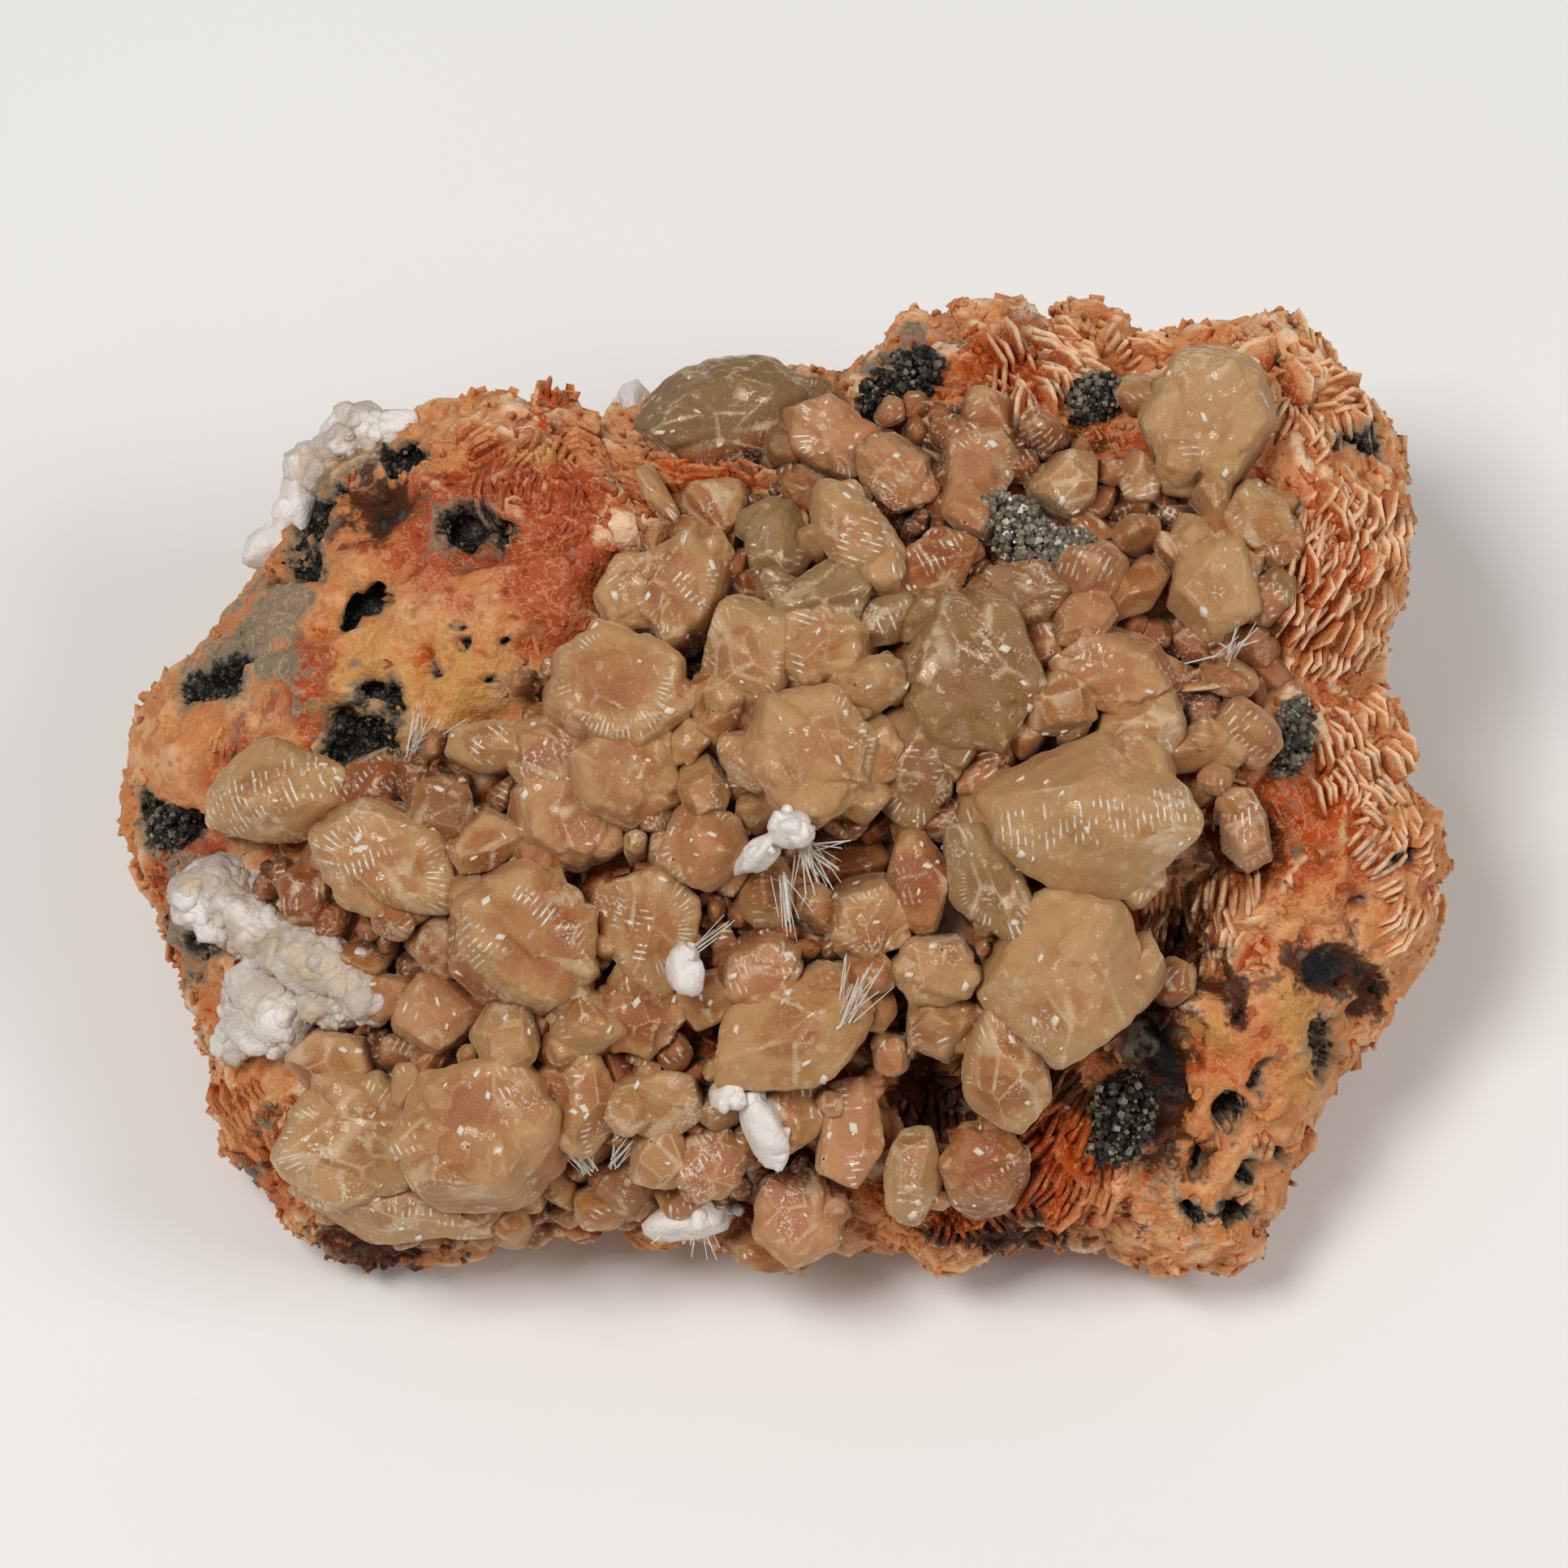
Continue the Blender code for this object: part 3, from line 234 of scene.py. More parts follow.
# Cerussite by node: each is one crystal, or several that have grown through each other
CERUSSITE = {
    "pale_finger": (Crystal(4.6, 14.8, 3.9, 2.4, 3.2, -52, 2.4, FINGER, PALE),),
    "grey_green": (Crystal(-0.6, 14.4, 2.6, 2.3, 2.4, 100, 1.4, BLOCK, GREY),),
    "striated_fan": (
        Crystal(2.2, 10.8, 3.4, 2.2, 2.8, 35, 2.4, PLATE, GREY),
        Crystal(-2.3, 7.8, 3.3, 3.0, 3.2, 60, 2.8, BLOCK, PALE),
        Crystal(2.2, 8.2, 2.8, 2.5, 3.0, 10, 2.6, TABLET, HONEY),
    ),
    "little_egg": (Crystal(5.0, 6.0, 2.4, 1.9, 3.0, 10, 3.0, ROUND, PALE),),
    "upper_left_trio": (
        Crystal(-9.1, 11.6, 2.5, 2.2, 2.6, 70, 1.6, TABLET, PALE),
        Crystal(-6.3, 11.8, 3.5, 2.5, 3.0, 80, 2.2, TABLET, HONEY),
        Crystal(-5.2, 13.9, 2.2, 2.0, 2.4, 30, 1.4, BLOCK, PALE),
    ),
    "thick_tablets": (
        Crystal(-10.1, 5.8, 4.3, 3.8, 3.8, -30, 3.2, TABLET, HONEY),
        Crystal(-9.6, 0.4, 3.5, 2.8, 3.4, -15, 3.0, TABLET, HONEY),
    ),
    "centre_tablet": (Crystal(1.7, 1.7, 4.4, 3.9, 4.2, -50, 3.9, TABLET, PALE),),
    "broad_grey": (Crystal(11.2, 6.8, 4.7, 4.2, 3.8, -70, 2.6, TABLET, OLIVE),),
    "olive": (Crystal(7.9, 1.2, 3.8, 2.4, 3.0, 85, 1.6, BLOCK, OLIVE),),
    "great_lens": (Crystal(19.2, -1.9, 7.0, 4.2, 5.0, -3, 4.6, LENS, PALE),),
    "striated_lean": (Crystal(12.4, -5.9, 3.8, 2.4, 3.2, -52, 2.8, PLATE, GREY),),
    "amber_pair": (
        Crystal(8.2, -5.9, 3.1, 2.0, 2.8, 95, 2.0, ROUND, AMBER),
        Crystal(5.3, -8.2, 2.5, 2.2, 2.8, 20, 2.2, TABLET, HONEY),
    ),
    "stacked_pair": (
        Crystal(9.2, -11.4, 2.6, 2.1, 3.0, 0, 2.6, TABLET, PALE),
        Crystal(9.3, -14.6, 2.3, 2.0, 2.8, 20, 2.2, BLOCK, HONEY),
    ),
    "great_block": (Crystal(17.2, -11.7, 5.2, 4.6, 4.6, 70, 3.6, BLOCK, PALE),),
    "column": (Crystal(13.4, -17.2, 3.7, 2.6, 3.8, 100, 3.2, FINGER, HONEY),),
    "lower_striated": (Crystal(12.1, -23.3, 2.7, 2.4, 3.2, 60, 2.6, TABLET, AMBER),),
    "lower_oval": (Crystal(7.9, -23.8, 2.8, 1.9, 3.0, 80, 2.6, ROUND, PALE),),
    "pale_disc": (Crystal(25.8, 22.4, 4.1, 3.7, 3.0, 60, 2.4, TABLET, PALE),),
    "upper_middle": (Crystal(11.9, 19.5, 2.5, 2.2, 2.6, 30, 1.6, BLOCK, PINK),),
    "upper_sparkling": (Crystal(17.3, 18.3, 2.2, 2.1, 2.6, 0, 1.8, BLOCK, PALE),),
    "top_pink_pair": (
        Crystal(3.2, 21.0, 3.4, 2.2, 2.6, -32, 1.4, TABLET, PINK),
        Crystal(6.8, 18.9, 2.7, 1.9, 2.6, -32, 1.2, TABLET, PINK),
    ),
    "upper_right_bead": (Crystal(29.0, 16.1, 2.5, 2.0, 2.4, -50, 1.6, ROUND, HONEY),),
    "pale_block": (Crystal(26.1, 11.8, 3.1, 2.8, 3.0, 80, 2.4, BLOCK, PALE),),
    "right_chain": (
        Crystal(18.2, 9.9, 2.4, 1.7, 2.4, 25, 1.6, BLOCK, PINK),
        Crystal(19.8, 6.8, 3.4, 2.3, 2.8, -10, 2.0, TABLET, PINK),
        Crystal(16.6, 4.8, 2.2, 2.0, 2.8, 0, 1.8, ROUND, HONEY),
        Crystal(21.5, 3.4, 2.7, 2.3, 3.0, 20, 2.2, BLOCK, PALE),
    ),
    "right_bead": (Crystal(28.1, -3.0, 2.3, 1.6, 2.2, 110, 1.4, ROUND, PINK),),
    "tan_plates": (Crystal(9.2, 13.3, 2.7, 1.8, 2.6, 40, 1.6, PLATE, AMBER),),
    "brown_grey": (Crystal(14.2, 11.5, 3.0, 2.0, 2.4, 5, 1.2, TABLET, OLIVE),),
    "left_lens": (Crystal(-31.2, -0.7, 4.6, 2.7, 3.2, 8, 2.2, LENS, PALE),),
    "left_tablet": (Crystal(-24.1, -4.9, 4.5, 3.4, 3.6, -22, 2.8, TABLET, HONEY),),
    "left_olive": (
        Crystal(-21.0, -1.6, 2.2, 2.0, 2.4, 60, 1.4, ROUND, OLIVE),
        Crystal(-18.1, -3.7, 2.2, 2.0, 2.6, 40, 1.8, PLATE, HONEY),
    ),
    "left_middle_chain": (
        Crystal(-17.8, 2.2, 2.8, 1.5, 2.4, -8, 1.8, ROUND, PALE),
        Crystal(-14.4, 1.8, 2.5, 2.2, 2.6, 10, 1.8, TABLET, HONEY),
        Crystal(-13.0, -2.1, 3.2, 2.5, 2.8, -30, 2.0, TABLET, PINK),
        Crystal(-15.2, -4.6, 2.0, 1.6, 2.4, 60, 1.4, BLOCK, HONEY),
    ),
    "big_tablet": (Crystal(-15.5, -9.3, 4.5, 4.0, 4.2, -25, 3.6, TABLET, HONEY),),
    "striated_leaf": (Crystal(-8.3, -8.8, 3.8, 3.1, 3.4, 100, 2.6, PLATE, HONEY),),
    "bottle": (
        Crystal(-5.1, -0.3, 2.0, 1.6, 3.2, 90, 3.0, ROUND, HONEY),
        Crystal(-4.8, -3.9, 2.6, 2.6, 3.6, 0, 3.4, BLOCK, PINK),
    ),
    "middle_facets": (
        Crystal(-12.0, -14.7, 2.3, 2.1, 3.0, 20, 2.8, BLOCK, PALE),
        Crystal(-8.6, -13.8, 2.7, 2.4, 2.6, 50, 1.8, TABLET, AMBER),
        Crystal(-4.6, -12.9, 2.1, 1.9, 2.6, 0, 1.8, BLOCK, HONEY),
    ),
    "left_dull_group": (
        Crystal(-16.9, -15.4, 2.3, 1.9, 3.0, 80, 2.8, ROUND, PALE),
        Crystal(-20.9, -13.8, 2.8, 2.4, 2.4, 10, 1.2, BLOCK, PINK),
        Crystal(-24.6, -12.9, 2.4, 1.6, 2.2, 5, 1.2, BLOCK, PINK),
    ),
    "oblong": (Crystal(-27.7, -17.1, 2.5, 1.9, 2.8, -8, 2.2, FINGER, HONEY),),
    "lower_left_group": (
        Crystal(-26.3, -21.9, 4.6, 3.8, 4.0, 15, 3.2, TABLET, PALE),
        Crystal(-18.8, -21.2, 5.0, 4.4, 4.6, 10, 4.0, TABLET, HONEY),
        Crystal(-24.8, -25.6, 5.8, 2.3, 3.0, -8, 2.4, LENS, PALE),
    ),
    "bottom_middle_group": (
        Crystal(-12.5, -19.4, 3.1, 2.3, 3.0, 85, 2.0, BLOCK, HONEY),
        Crystal(-7.7, -19.2, 2.9, 2.2, 2.8, 5, 2.4, PLATE, PALE),
        Crystal(-7.6, -22.6, 2.3, 2.0, 2.8, 90, 2.2, BLOCK, PALE),
        Crystal(-4.6, -23.2, 2.4, 2.1, 2.8, 70, 2.2, TABLET, PINK),
    ),
    "big_plate": (
        Crystal(0.3, -15.0, 5.0, 3.2, 3.8, 28, 3.6, PLATE, HONEY),
        Crystal(-1.4, -11.6, 2.6, 2.0, 2.8, 30, 2.2, TABLET, PINK),
    ),
    "bottom_tan": (
        Crystal(0.9, -26.4, 2.9, 2.7, 2.8, 80, 2.0, TABLET, PINK),
        Crystal(-0.4, -28.9, 2.7, 1.3, 2.2, 0, 4.4, ROUND, AMBER),
    ),
    "pink_plates": (Crystal(4.2, -21.2, 3.5, 2.2, 2.8, 85, 1.8, PLATE, PINK),),
    # Its darker tone is painted shade, for its place set back in shadow at the top edge
    "top_edge_block": (Crystal(-3.0, 22.6, 5.3, 3.2, 3.4, 5, 1.6, TABLET, DUSK),),
}


class Lobe(NamedTuple):
    """One rounded lobe of a crust or lump: its middle, half sizes, turn and rise of its middle."""

    u: float
    v: float
    half_length: float
    half_width: float
    half_depth: float
    turn: float
    rise: float


CRUST = {
    "white_crust_rim": (
        Lobe(-26.6, 21.7, 2.8, 1.9, 2.2, 15, 0.2),
        Lobe(-29.3, 19.6, 2.2, 1.8, 2.2, 50, 0.4),
        Lobe(-30.7, 17.3, 2.8, 1.4, 2.0, 70, 0.4),
        Lobe(-32.0, 15.0, 2.3, 1.3, 1.9, 30, 0.4),
    ),
    "white_crust_left": (
        Lobe(-35.4, -6.6, 3.0, 1.9, 2.4, 30, 1.0),
        Lobe(-32.8, -8.8, 3.4, 2.0, 2.4, -40, 1.0),
        Lobe(-28.4, -10.9, 3.8, 2.2, 2.4, -15, 1.2),
        Lobe(-31.4, -13.8, 3.2, 3.0, 2.6, 20, 1.2),
        Lobe(-26.0, -12.6, 2.4, 1.6, 2.2, -40, 1.4),
    ),
    "white_knob": (Lobe(-9.5, 23.5, 1.7, 1.3, 1.8, 80, 0.6),),
    "white_ball": (
        Lobe(0.4, -2.6, 1.4, 1.3, 2.0, 0, 7.6),
        Lobe(-1.5, -4.2, 1.8, 0.9, 2.2, 42, 6.4),
    ),
    "white_drop": (Lobe(-5.9, -11.2, 1.8, 1.2, 2.2, 100, 5.6),),
    "white_blebs": (
        Lobe(-3.5, -18.8, 1.2, 1.1, 1.8, 0, 4.2),
        Lobe(-1.3, -20.8, 2.6, 1.4, 2.0, 118, 3.6),
    ),
    "white_fan": (Lobe(-5.5, -26.7, 3.0, 1.5, 1.9, 5, 1.8),),
}
GALENA = {
    "galena_top": (Lobe(7.2, 24.6, 3.2, 2.0, 1.6, 35, 0.4),),
    "galena_top_right": (Lobe(18.9, 23.7, 2.2, 1.7, 1.5, 20, 0.5),),
    "galena_grey": (
        Lobe(14.2, 15.4, 3.2, 2.1, 1.8, -35, 1.4),
        Lobe(17.4, 14.0, 2.0, 1.7, 1.6, 0, 1.2),
    ),
    "galena_lower_right": (Lobe(20.6, -20.4, 3.3, 2.3, 1.9, 70, 1.2),),
    "galena_right": (Lobe(31.0, 2.8, 2.8, 1.5, 1.5, 75, 0.8),),
    "galena_left_edge": (Lobe(-37.8, -2.6, 1.9, 1.6, 1.8, 30, -0.2),),
}


@dataclass(frozen=True)
class FaceFrame:
    """The rock's form in its face frame, with the driving sizes in millimetres."""

    rise: float = math.radians(65.0)
    centre_height: float = 18.5
    dome: float = 12.0
    dome_flatness: float = 3.2
    dome_edge: float = 0.55
    relief_edge: int = 6
    fall_up: float = 0.0035
    fall_left: float = 0.0024
    relief: tuple = ((1.2, 8.0, 11), (0.7, 3.4, 12))
    side_relief: tuple = ((1.0, 7.0, 21), (0.6, 3.2, 22))
    side_stretch: tuple = (1.0, 1.0, 1.8)
    side_inward: float = 0.045
    side_bulge: float = 0.7
    side_tuck: float = 1.7
    base_shrink: tuple = (0.84, 0.80, 0.0)
    base_shift: float = 1.5
    base_sunk: float = 2.0

    @property
    def axes(self) -> Array:
        """The face frame's axes in the world, as rows."""
        sine, cosine = math.sin(self.rise), math.cos(self.rise)
        return np.array(((1.0, 0.0, 0.0), (0.0, sine, cosine), (0.0, -cosine, sine)))

    @property
    def centre(self) -> Array:
        """The middle of the face frame in the world, in millimetres."""
        return np.array((0.0, 0.0, self.centre_height))

    def to_world(self, face_points: Array) -> Array:
        """World metres from face millimetres."""
        return (self.centre + np.asarray(face_points) @ self.axes) * MM

    def to_face(self, world_points: Array) -> Array:
        """Face millimetres from world metres."""
        return (np.asarray(world_points) / MM - self.centre) @ self.axes.T

    def rim(self, angle: Array) -> Array:
        """Distance from the face's middle to the outline, straight between its corners.

        Args:
            angle: angles about the middle.

        Returns:
            The distance at each.
        """
        corners = np.array(OUTLINE)
        angles = np.arctan2(corners[:, 1], corners[:, 0])
        order = np.argsort(angles)
        radii = np.hypot(corners[:, 0], corners[:, 1])
        return np.interp(angle, angles[order], radii[order], period=2.0 * math.pi)

    def covered(self, u: Array, v: Array) -> Array:
        """How far crystals hide the rock.

        Args:
            u: places across the face.
            v: places up the face.

        Returns:
            From 0 to 1 at each place.
        """
        crystals = itertools.chain.from_iterable(CERUSSITE.values())
        rows = [(one.u, one.v, one.half_length, one.half_length, 1.0) for one in crystals]
        return np.minimum(1.0, spots(u, v, rows))

    def height(self, u: Array, v: Array) -> Array:
        """Height w of the face: a dome over the outline, falling away up and left, with its relief.

        The dome is its height times (1 - reach^flatness)^edge, where reach runs from 0 at the middle
        to 1 at the outline.

        Args:
            u: places across the face.
            v: places up the face.

        Returns:
            The height at each place in millimetres.
        """
        reach = np.clip(np.hypot(u, v) / self.rim(np.arctan2(v, u)), 0.0, 1.0)
        flat = np.stack((u, v, np.zeros_like(u)), axis=-1)
        dome = self.dome * (1.0 - reach**self.dome_flatness) ** self.dome_edge
        fall = self.fall_up * np.maximum(v, 0.0) ** 2 + self.fall_left * np.minimum(u, 0.0) ** 2
        rough = layered_random(flat, self.relief) * (1.0 - self.covered(u, v))
        inside = 1.0 - reach**self.relief_edge
        return dome - fall + inside * (spots(u, v, SWELLS) - spots(u, v, PITS) + rough)

    def height_at(self, u: float, v: float) -> float:
        """Height of the face at one place."""
        return float(self.height(np.array([u]), np.array([v]))[0])

    def shell(self, angle: Array, reach: Array, wall: Array, under: Array) -> Array:
        """Places on the rock by their way from the face's middle to the base's middle.

        Args:
            angle: angle about the middle.
            reach: 0 at the face's middle, 1 at the outline.
            wall: 0 at the outline, 1 at the foot.
            under: 0 at the foot, 1 at the base's middle.

        Returns:
            World points in millimetres.
        """
        radius = self.rim(angle)
        u = radius * reach * np.cos(angle)
        v = radius * reach * np.sin(angle)
        rim = self.centre + np.stack((u, v, self.height(u, v)), axis=-1) @ self.axes
        foot = rim * self.base_shrink + (0.0, self.base_shift, -self.base_sunk)
        side = rim.copy()
        side[..., :2] += (foot - rim)[..., :2] * (wall**self.side_tuck)[..., None]
        side[..., 2] += (foot - rim)[..., 2] * wall
        ledges = layered_random(side * self.side_stretch, self.side_relief)
        inward = self.side_inward * (1.0 - ledges) * np.sin(math.pi * wall) ** self.side_bulge
        side[..., :2] *= (1.0 - inward)[..., None]
        side[..., :2] *= (1.0 - under)[..., None]
        return np.where((wall <= 0.0)[..., None], rim, side)


FACE = FaceFrame()
# The faces of a solid: each a unit normal, and its distance from the middle in millimetres
Faces = list[tuple[Array, float]]


def seat(one: Crystal | Lobe, draw: np.random.Generator) -> tuple[Array, Array, Array]:
    """Where a crystal or a lobe sits, leaned a little by chance.

    Args:
        one: the crystal or lobe.
        draw: the source of chance.

    Returns:
        Its middle in the face frame, its own axes as rows, and its half sizes.
    """
    lean, pitch = draw.uniform(-LEAN, LEAN, 2)
    middle = np.array((one.u, one.v, FACE.height_at(one.u, one.v) + one.rise))
    halves = np.array((one.half_length, one.half_width, one.half_depth))
    return middle, turned_axes(one.turn, lean, pitch), halves


def net_triangles(rings: int, segments: int) -> Array:
    """Triangles of a closed net: rings of points, then the first ring's pole and the last ring's.

    Args:
        rings: how many rings.
        segments: how many points each has, counterclockwise as seen from the first pole.

    Returns:
        Rows of three point numbers, facing outwards.
    """
    index = np.arange(rings * segments).reshape(rings, segments)
    after = np.roll(index, -1, axis=1)
    first, last = rings * segments, rings * segments + 1
    quads_a = np.stack((index[:-1], index[1:], after[1:]), axis=-1).reshape(-1, 3)
    quads_b = np.stack((index[:-1], after[1:], after[:-1]), axis=-1).reshape(-1, 3)
    cap_a = np.stack((np.full(segments, first), index[0], after[0]), axis=-1)
    cap_b = np.stack((np.full(segments, last), after[-1], index[-1]), axis=-1)
    return np.concatenate((quads_a, quads_b, cap_a, cap_b))


def ball_units(rings: int, segments: int) -> tuple[Array, Array]:
    """Unit directions over a ball, (sin p cos a, sin p sin a, cos p), on rings between two poles.

    Args:
        rings: how many rings lie between the poles, evenly by the polar angle p.
        segments: points in each ring, evenly by the azimuth a.

    Returns:
        The directions, ring by ring and then both poles, and the triangles as rows of point numbers.
    """
    rows = np.linspace(0.0, math.pi, rings + 2)[1:-1]
    polar, around = np.meshgrid(rows, np.arange(segments) * 2.0 * math.pi / segments, indexing="ij")
    polar = np.concatenate((polar.ravel(), (0.0, math.pi)))
    around = np.concatenate((around.ravel(), (0.0, 0.0)))
    level = np.sin(polar)
    units = np.stack((level * np.cos(around), level * np.sin(around), np.cos(polar)), axis=-1)
    return units, net_triangles(rings, segments)


class Draft:
    """A mesh being gathered: points, triangles and the values that its finish reads."""

    def __init__(self, smooth: bool) -> None:
        """Starts empty.

        Args:
            smooth: whether its faces are to be shaded as one round surface.
        """
        self.smooth = smooth
        self.points: list[Array] = []
        self.triangles: list[Array] = []
        self.values: dict[str, list[Array]] = {}
        self.count = 0

    def add(self, points: Array, triangles: Array, **values: Array | float) -> None:
        """Adds one or many shapes of the same net.

        Args:
            points: (..., points, 3) world metres.
            triangles: the net's triangles.
            values: a number, or an array that fits the points, by attribute name.
        """
        points = np.asarray(points, dtype=float)
        shapes = points.reshape(-1, points.shape[-2], 3)
        copies, size = shapes.shape[0], shapes.shape[1]
        starts = self.count + size * np.arange(copies)
        self.points.append(shapes.reshape(-1, 3))
        self.triangles.append((triangles[None] + starts[:, None, None]).reshape(-1, 3))
        for name, value in values.items():
            filled = np.broadcast_to(np.asarray(value, dtype=float), points.shape[:-1])
            self.values.setdefault(name, []).append(filled.reshape(-1))
        self.count += copies * size

    def finish(self, name: str, material: bpy.types.Material) -> bpy.types.Object:
        """Makes the object, with its place in its mesh.

        Args:
            name: the piece's name.
            material: its finish.

        Returns:
            The new object, at the origin.
        """
        points = np.concatenate(self.points).astype(np.float32)
        points[:, 2] = np.maximum(points[:, 2], 0.0)
        corners = np.concatenate(self.triangles).astype(np.int32)
        mesh = bpy.data.meshes.new(name)
        mesh.vertices.add(len(points))
        mesh.vertices.foreach_set("co", points.ravel())
        mesh.loops.add(corners.size)
        mesh.loops.foreach_set("vertex_index", corners.ravel())
        mesh.polygons.add(len(corners))
        mesh.polygons.foreach_set("loop_start", np.arange(0, corners.size, 3, dtype=np.int32))
        mesh.update(calc_edges=True)
        self.values["cloud"] = [0.5 + layered_random(points / MM, CLOUD_LAYERS)]
        for key, parts in self.values.items():
            data = np.concatenate(parts).astype(np.float32)
            mesh.attributes.new(key, "FLOAT", "POINT").data.foreach_set("value", data)
        mesh.polygons.foreach_set("use_smooth", np.full(len(corners), self.smooth))
        mesh.materials.append(material)
        mesh.update()
        made = bpy.data.objects.new(name, mesh)
        bpy.context.scene.collection.objects.link(made)
        LOG.info("%s: %d points, %d triangles", name, len(points), len(corners))
        return made


class Wire:
    """A shader value that sums, differences and products can be written with."""

    def __init__(self, board: "Board", socket: bpy.types.NodeSocket) -> None:
        """Wraps one output socket of the board's nodes."""
        self.board = board
        self.socket = socket

    def _join(self, operation: str, first: Any, second: Any) -> "Wire":
        """Adds one Math node."""
        return self.board.node("ShaderNodeMath", {"operation": operation}, {0: first, 1: second})

    def __add__(self, other: Any) -> "Wire":
        """The sum."""
        return self._join("ADD", self, other)

    __radd__ = __add__

    def __sub__(self, other: Any) -> "Wire":
        """The difference."""
        return self._join("SUBTRACT", self, other)

    def __rsub__(self, other: Any) -> "Wire":
        """The difference, from a number."""
        return self._join("SUBTRACT", other, self)

    def __mul__(self, other: Any) -> "Wire":
        """The product."""
        return self._join("MULTIPLY", self, other)

    __rmul__ = __mul__

    def most(self, other: Any) -> "Wire":
        # Painted shade: the lower a point sits over the rock, the darker and redder the finish paints it
        """The larger of two values."""
        return self._join("MAXIMUM", self, other)

    def sharp(self, width: float) -> "Wire":
        """1 where the value is 0, down to 0 at this width on both sides."""
        away = self.board.node("ShaderNodeMath", {"operation": "ABSOLUTE"}, {0: self})
        return away.step(0.0, width, 1.0, 0.0)

    def sine(self) -> "Wire":
        """The sine."""
        return self.board.node("ShaderNodeMath", {"operation": "SINE"}, {0: self})

    def also(self, which: int | str) -> "Wire":
        """Another output of the same node."""
        return Wire(self.board, self.socket.node.outputs[which])

    def step(self, low: float, high: float, bottom: float = 0.0, top: float = 1.0) -> "Wire":
        """From bottom to top as the value goes from low to high, along a soft curve."""
        sockets = {"Value": self, "From Min": low, "From Max": high, "To Min": bottom, "To Max": top}
        return self.board.node("ShaderNodeMapRange", {"interpolation_type": "SMOOTHSTEP"}, sockets)


class Board:
    """One material's nodes, around its Principled shader."""

    def __init__(self, name: str) -> None:
        """A new material with a Principled shader and its output.

        Args:
            name: the material's name.
        """
        self.material = bpy.data.materials.new(name)
        self.material.use_nodes = True
        self.tree = self.material.node_tree
        self.surface = self.tree.nodes["Principled BSDF"]
        self.output = self.tree.nodes["Material Output"]

    def feed(self, socket: bpy.types.NodeSocket, value: Any) -> None:
        """Links a wire to a socket, or sets the socket's own value.

        Args:
            socket: an input of a node.
            value: a wire, a number, a vector or a colour without its alpha.
        """
        if isinstance(value, Wire):
            self.tree.links.new(value.socket, socket)
        elif isinstance(value, tuple) and len(value) == 3 and socket.type == "RGBA":
            socket.default_value = (*value, 1.0)
        else:
            socket.default_value = value

    def node(self, kind: str, settings: dict[str, Any], sockets: dict[int | str, Any],
             out: int | str = 0) -> Wire:
        """Adds a node.

        Args:
            kind: the node's type.
            settings: its own settings, set first.
            sockets: a value or wire for each of its inputs that is used.
            out: the output to read.

        Returns:
            That output.
        """
        made = self.tree.nodes.new(kind)
        for name, value in settings.items():
            setattr(made, name, value)
        for which, value in sockets.items():
            self.feed(made.inputs[which], value)
        return Wire(self, made.outputs[out])

    def value(self, name: str) -> Wire:
        """A number that the mesh carries."""
        return self.node("ShaderNodeAttribute", {"attribute_name": name}, {}, "Fac")

    def place(self) -> Wire:
        """Object coordinates."""
        return self.node("ShaderNodeTexCoord", {}, {}, "Object")

    def noise(self, vector: Wire, scale: float, detail: float, rough: float = 0.5) -> Wire:
        """Soft random values from 0 to 1 around 0.5."""
        sockets = {"Vector": vector, "Scale": scale, "Detail": detail, "Roughness": rough}
        return self.node("ShaderNodeTexNoise", {}, sockets)

    def mix(self, share: Any, first: Any, second: Any) -> Wire:
        """The second colour over the first by a share."""
        settings = {"data_type": "RGBA", "blend_type": "MIX", "clamp_factor": True}
        return self.node("ShaderNodeMix", settings, {0: share, 6: first, 7: second}, 2)

    def over(self, colour: Any, *coats: tuple[Any, Any]) -> Any:
        """Lays coats over a colour in order.

        Args:
            colour: the colour below.
            coats: each a share and the coat's own colour.

        Returns:
            The colour on top.
        """
        for share, coat in coats:
            colour = self.mix(share, colour, coat)
        return colour

    def tilts(self, vector: Wire, scale: float) -> tuple[Wire, Wire, Wire]:
        """Flat cells, each tilted its own way.

        Args:
            vector: the place.
            scale: cells in each metre.

        Returns:
            The height over them in cells, each cell's random number, and the distance to its middle.
        """
        found = self.node("ShaderNodeTexVoronoi", {}, {"Vector": vector, "Scale": scale}, "Position")
        away = self.vector_math("SUBTRACT", vector, found)
        way = self.vector_math("SUBTRACT", found.also("Color"), (0.5, 0.5, 0.5))
        rise = self.vector_math("DOT_PRODUCT", away, way).also("Value")
        parts = self.node("ShaderNodeSeparateColor", {}, {0: found.also("Color")})
        return rise * scale, parts, found.also("Distance")

    def vector_math(self, operation: str, first: Any, second: Any) -> Wire:
        """One Vector Math node."""
        return self.node("ShaderNodeVectorMath", {"operation": operation}, {0: first, 1: second})

    def bump(self, height: Wire) -> Wire:
        """Surface relief from a height in millimetres."""
        return self.node("ShaderNodeBump", {}, {"Height": height, "Distance": MM})

    def set(self, **values: Any) -> None:
        """Feeds the Principled shader, by its socket names with underscores for blanks."""
        for name, value in values.items():
            self.feed(self.surface.inputs[name.replace("_", " ")], value)


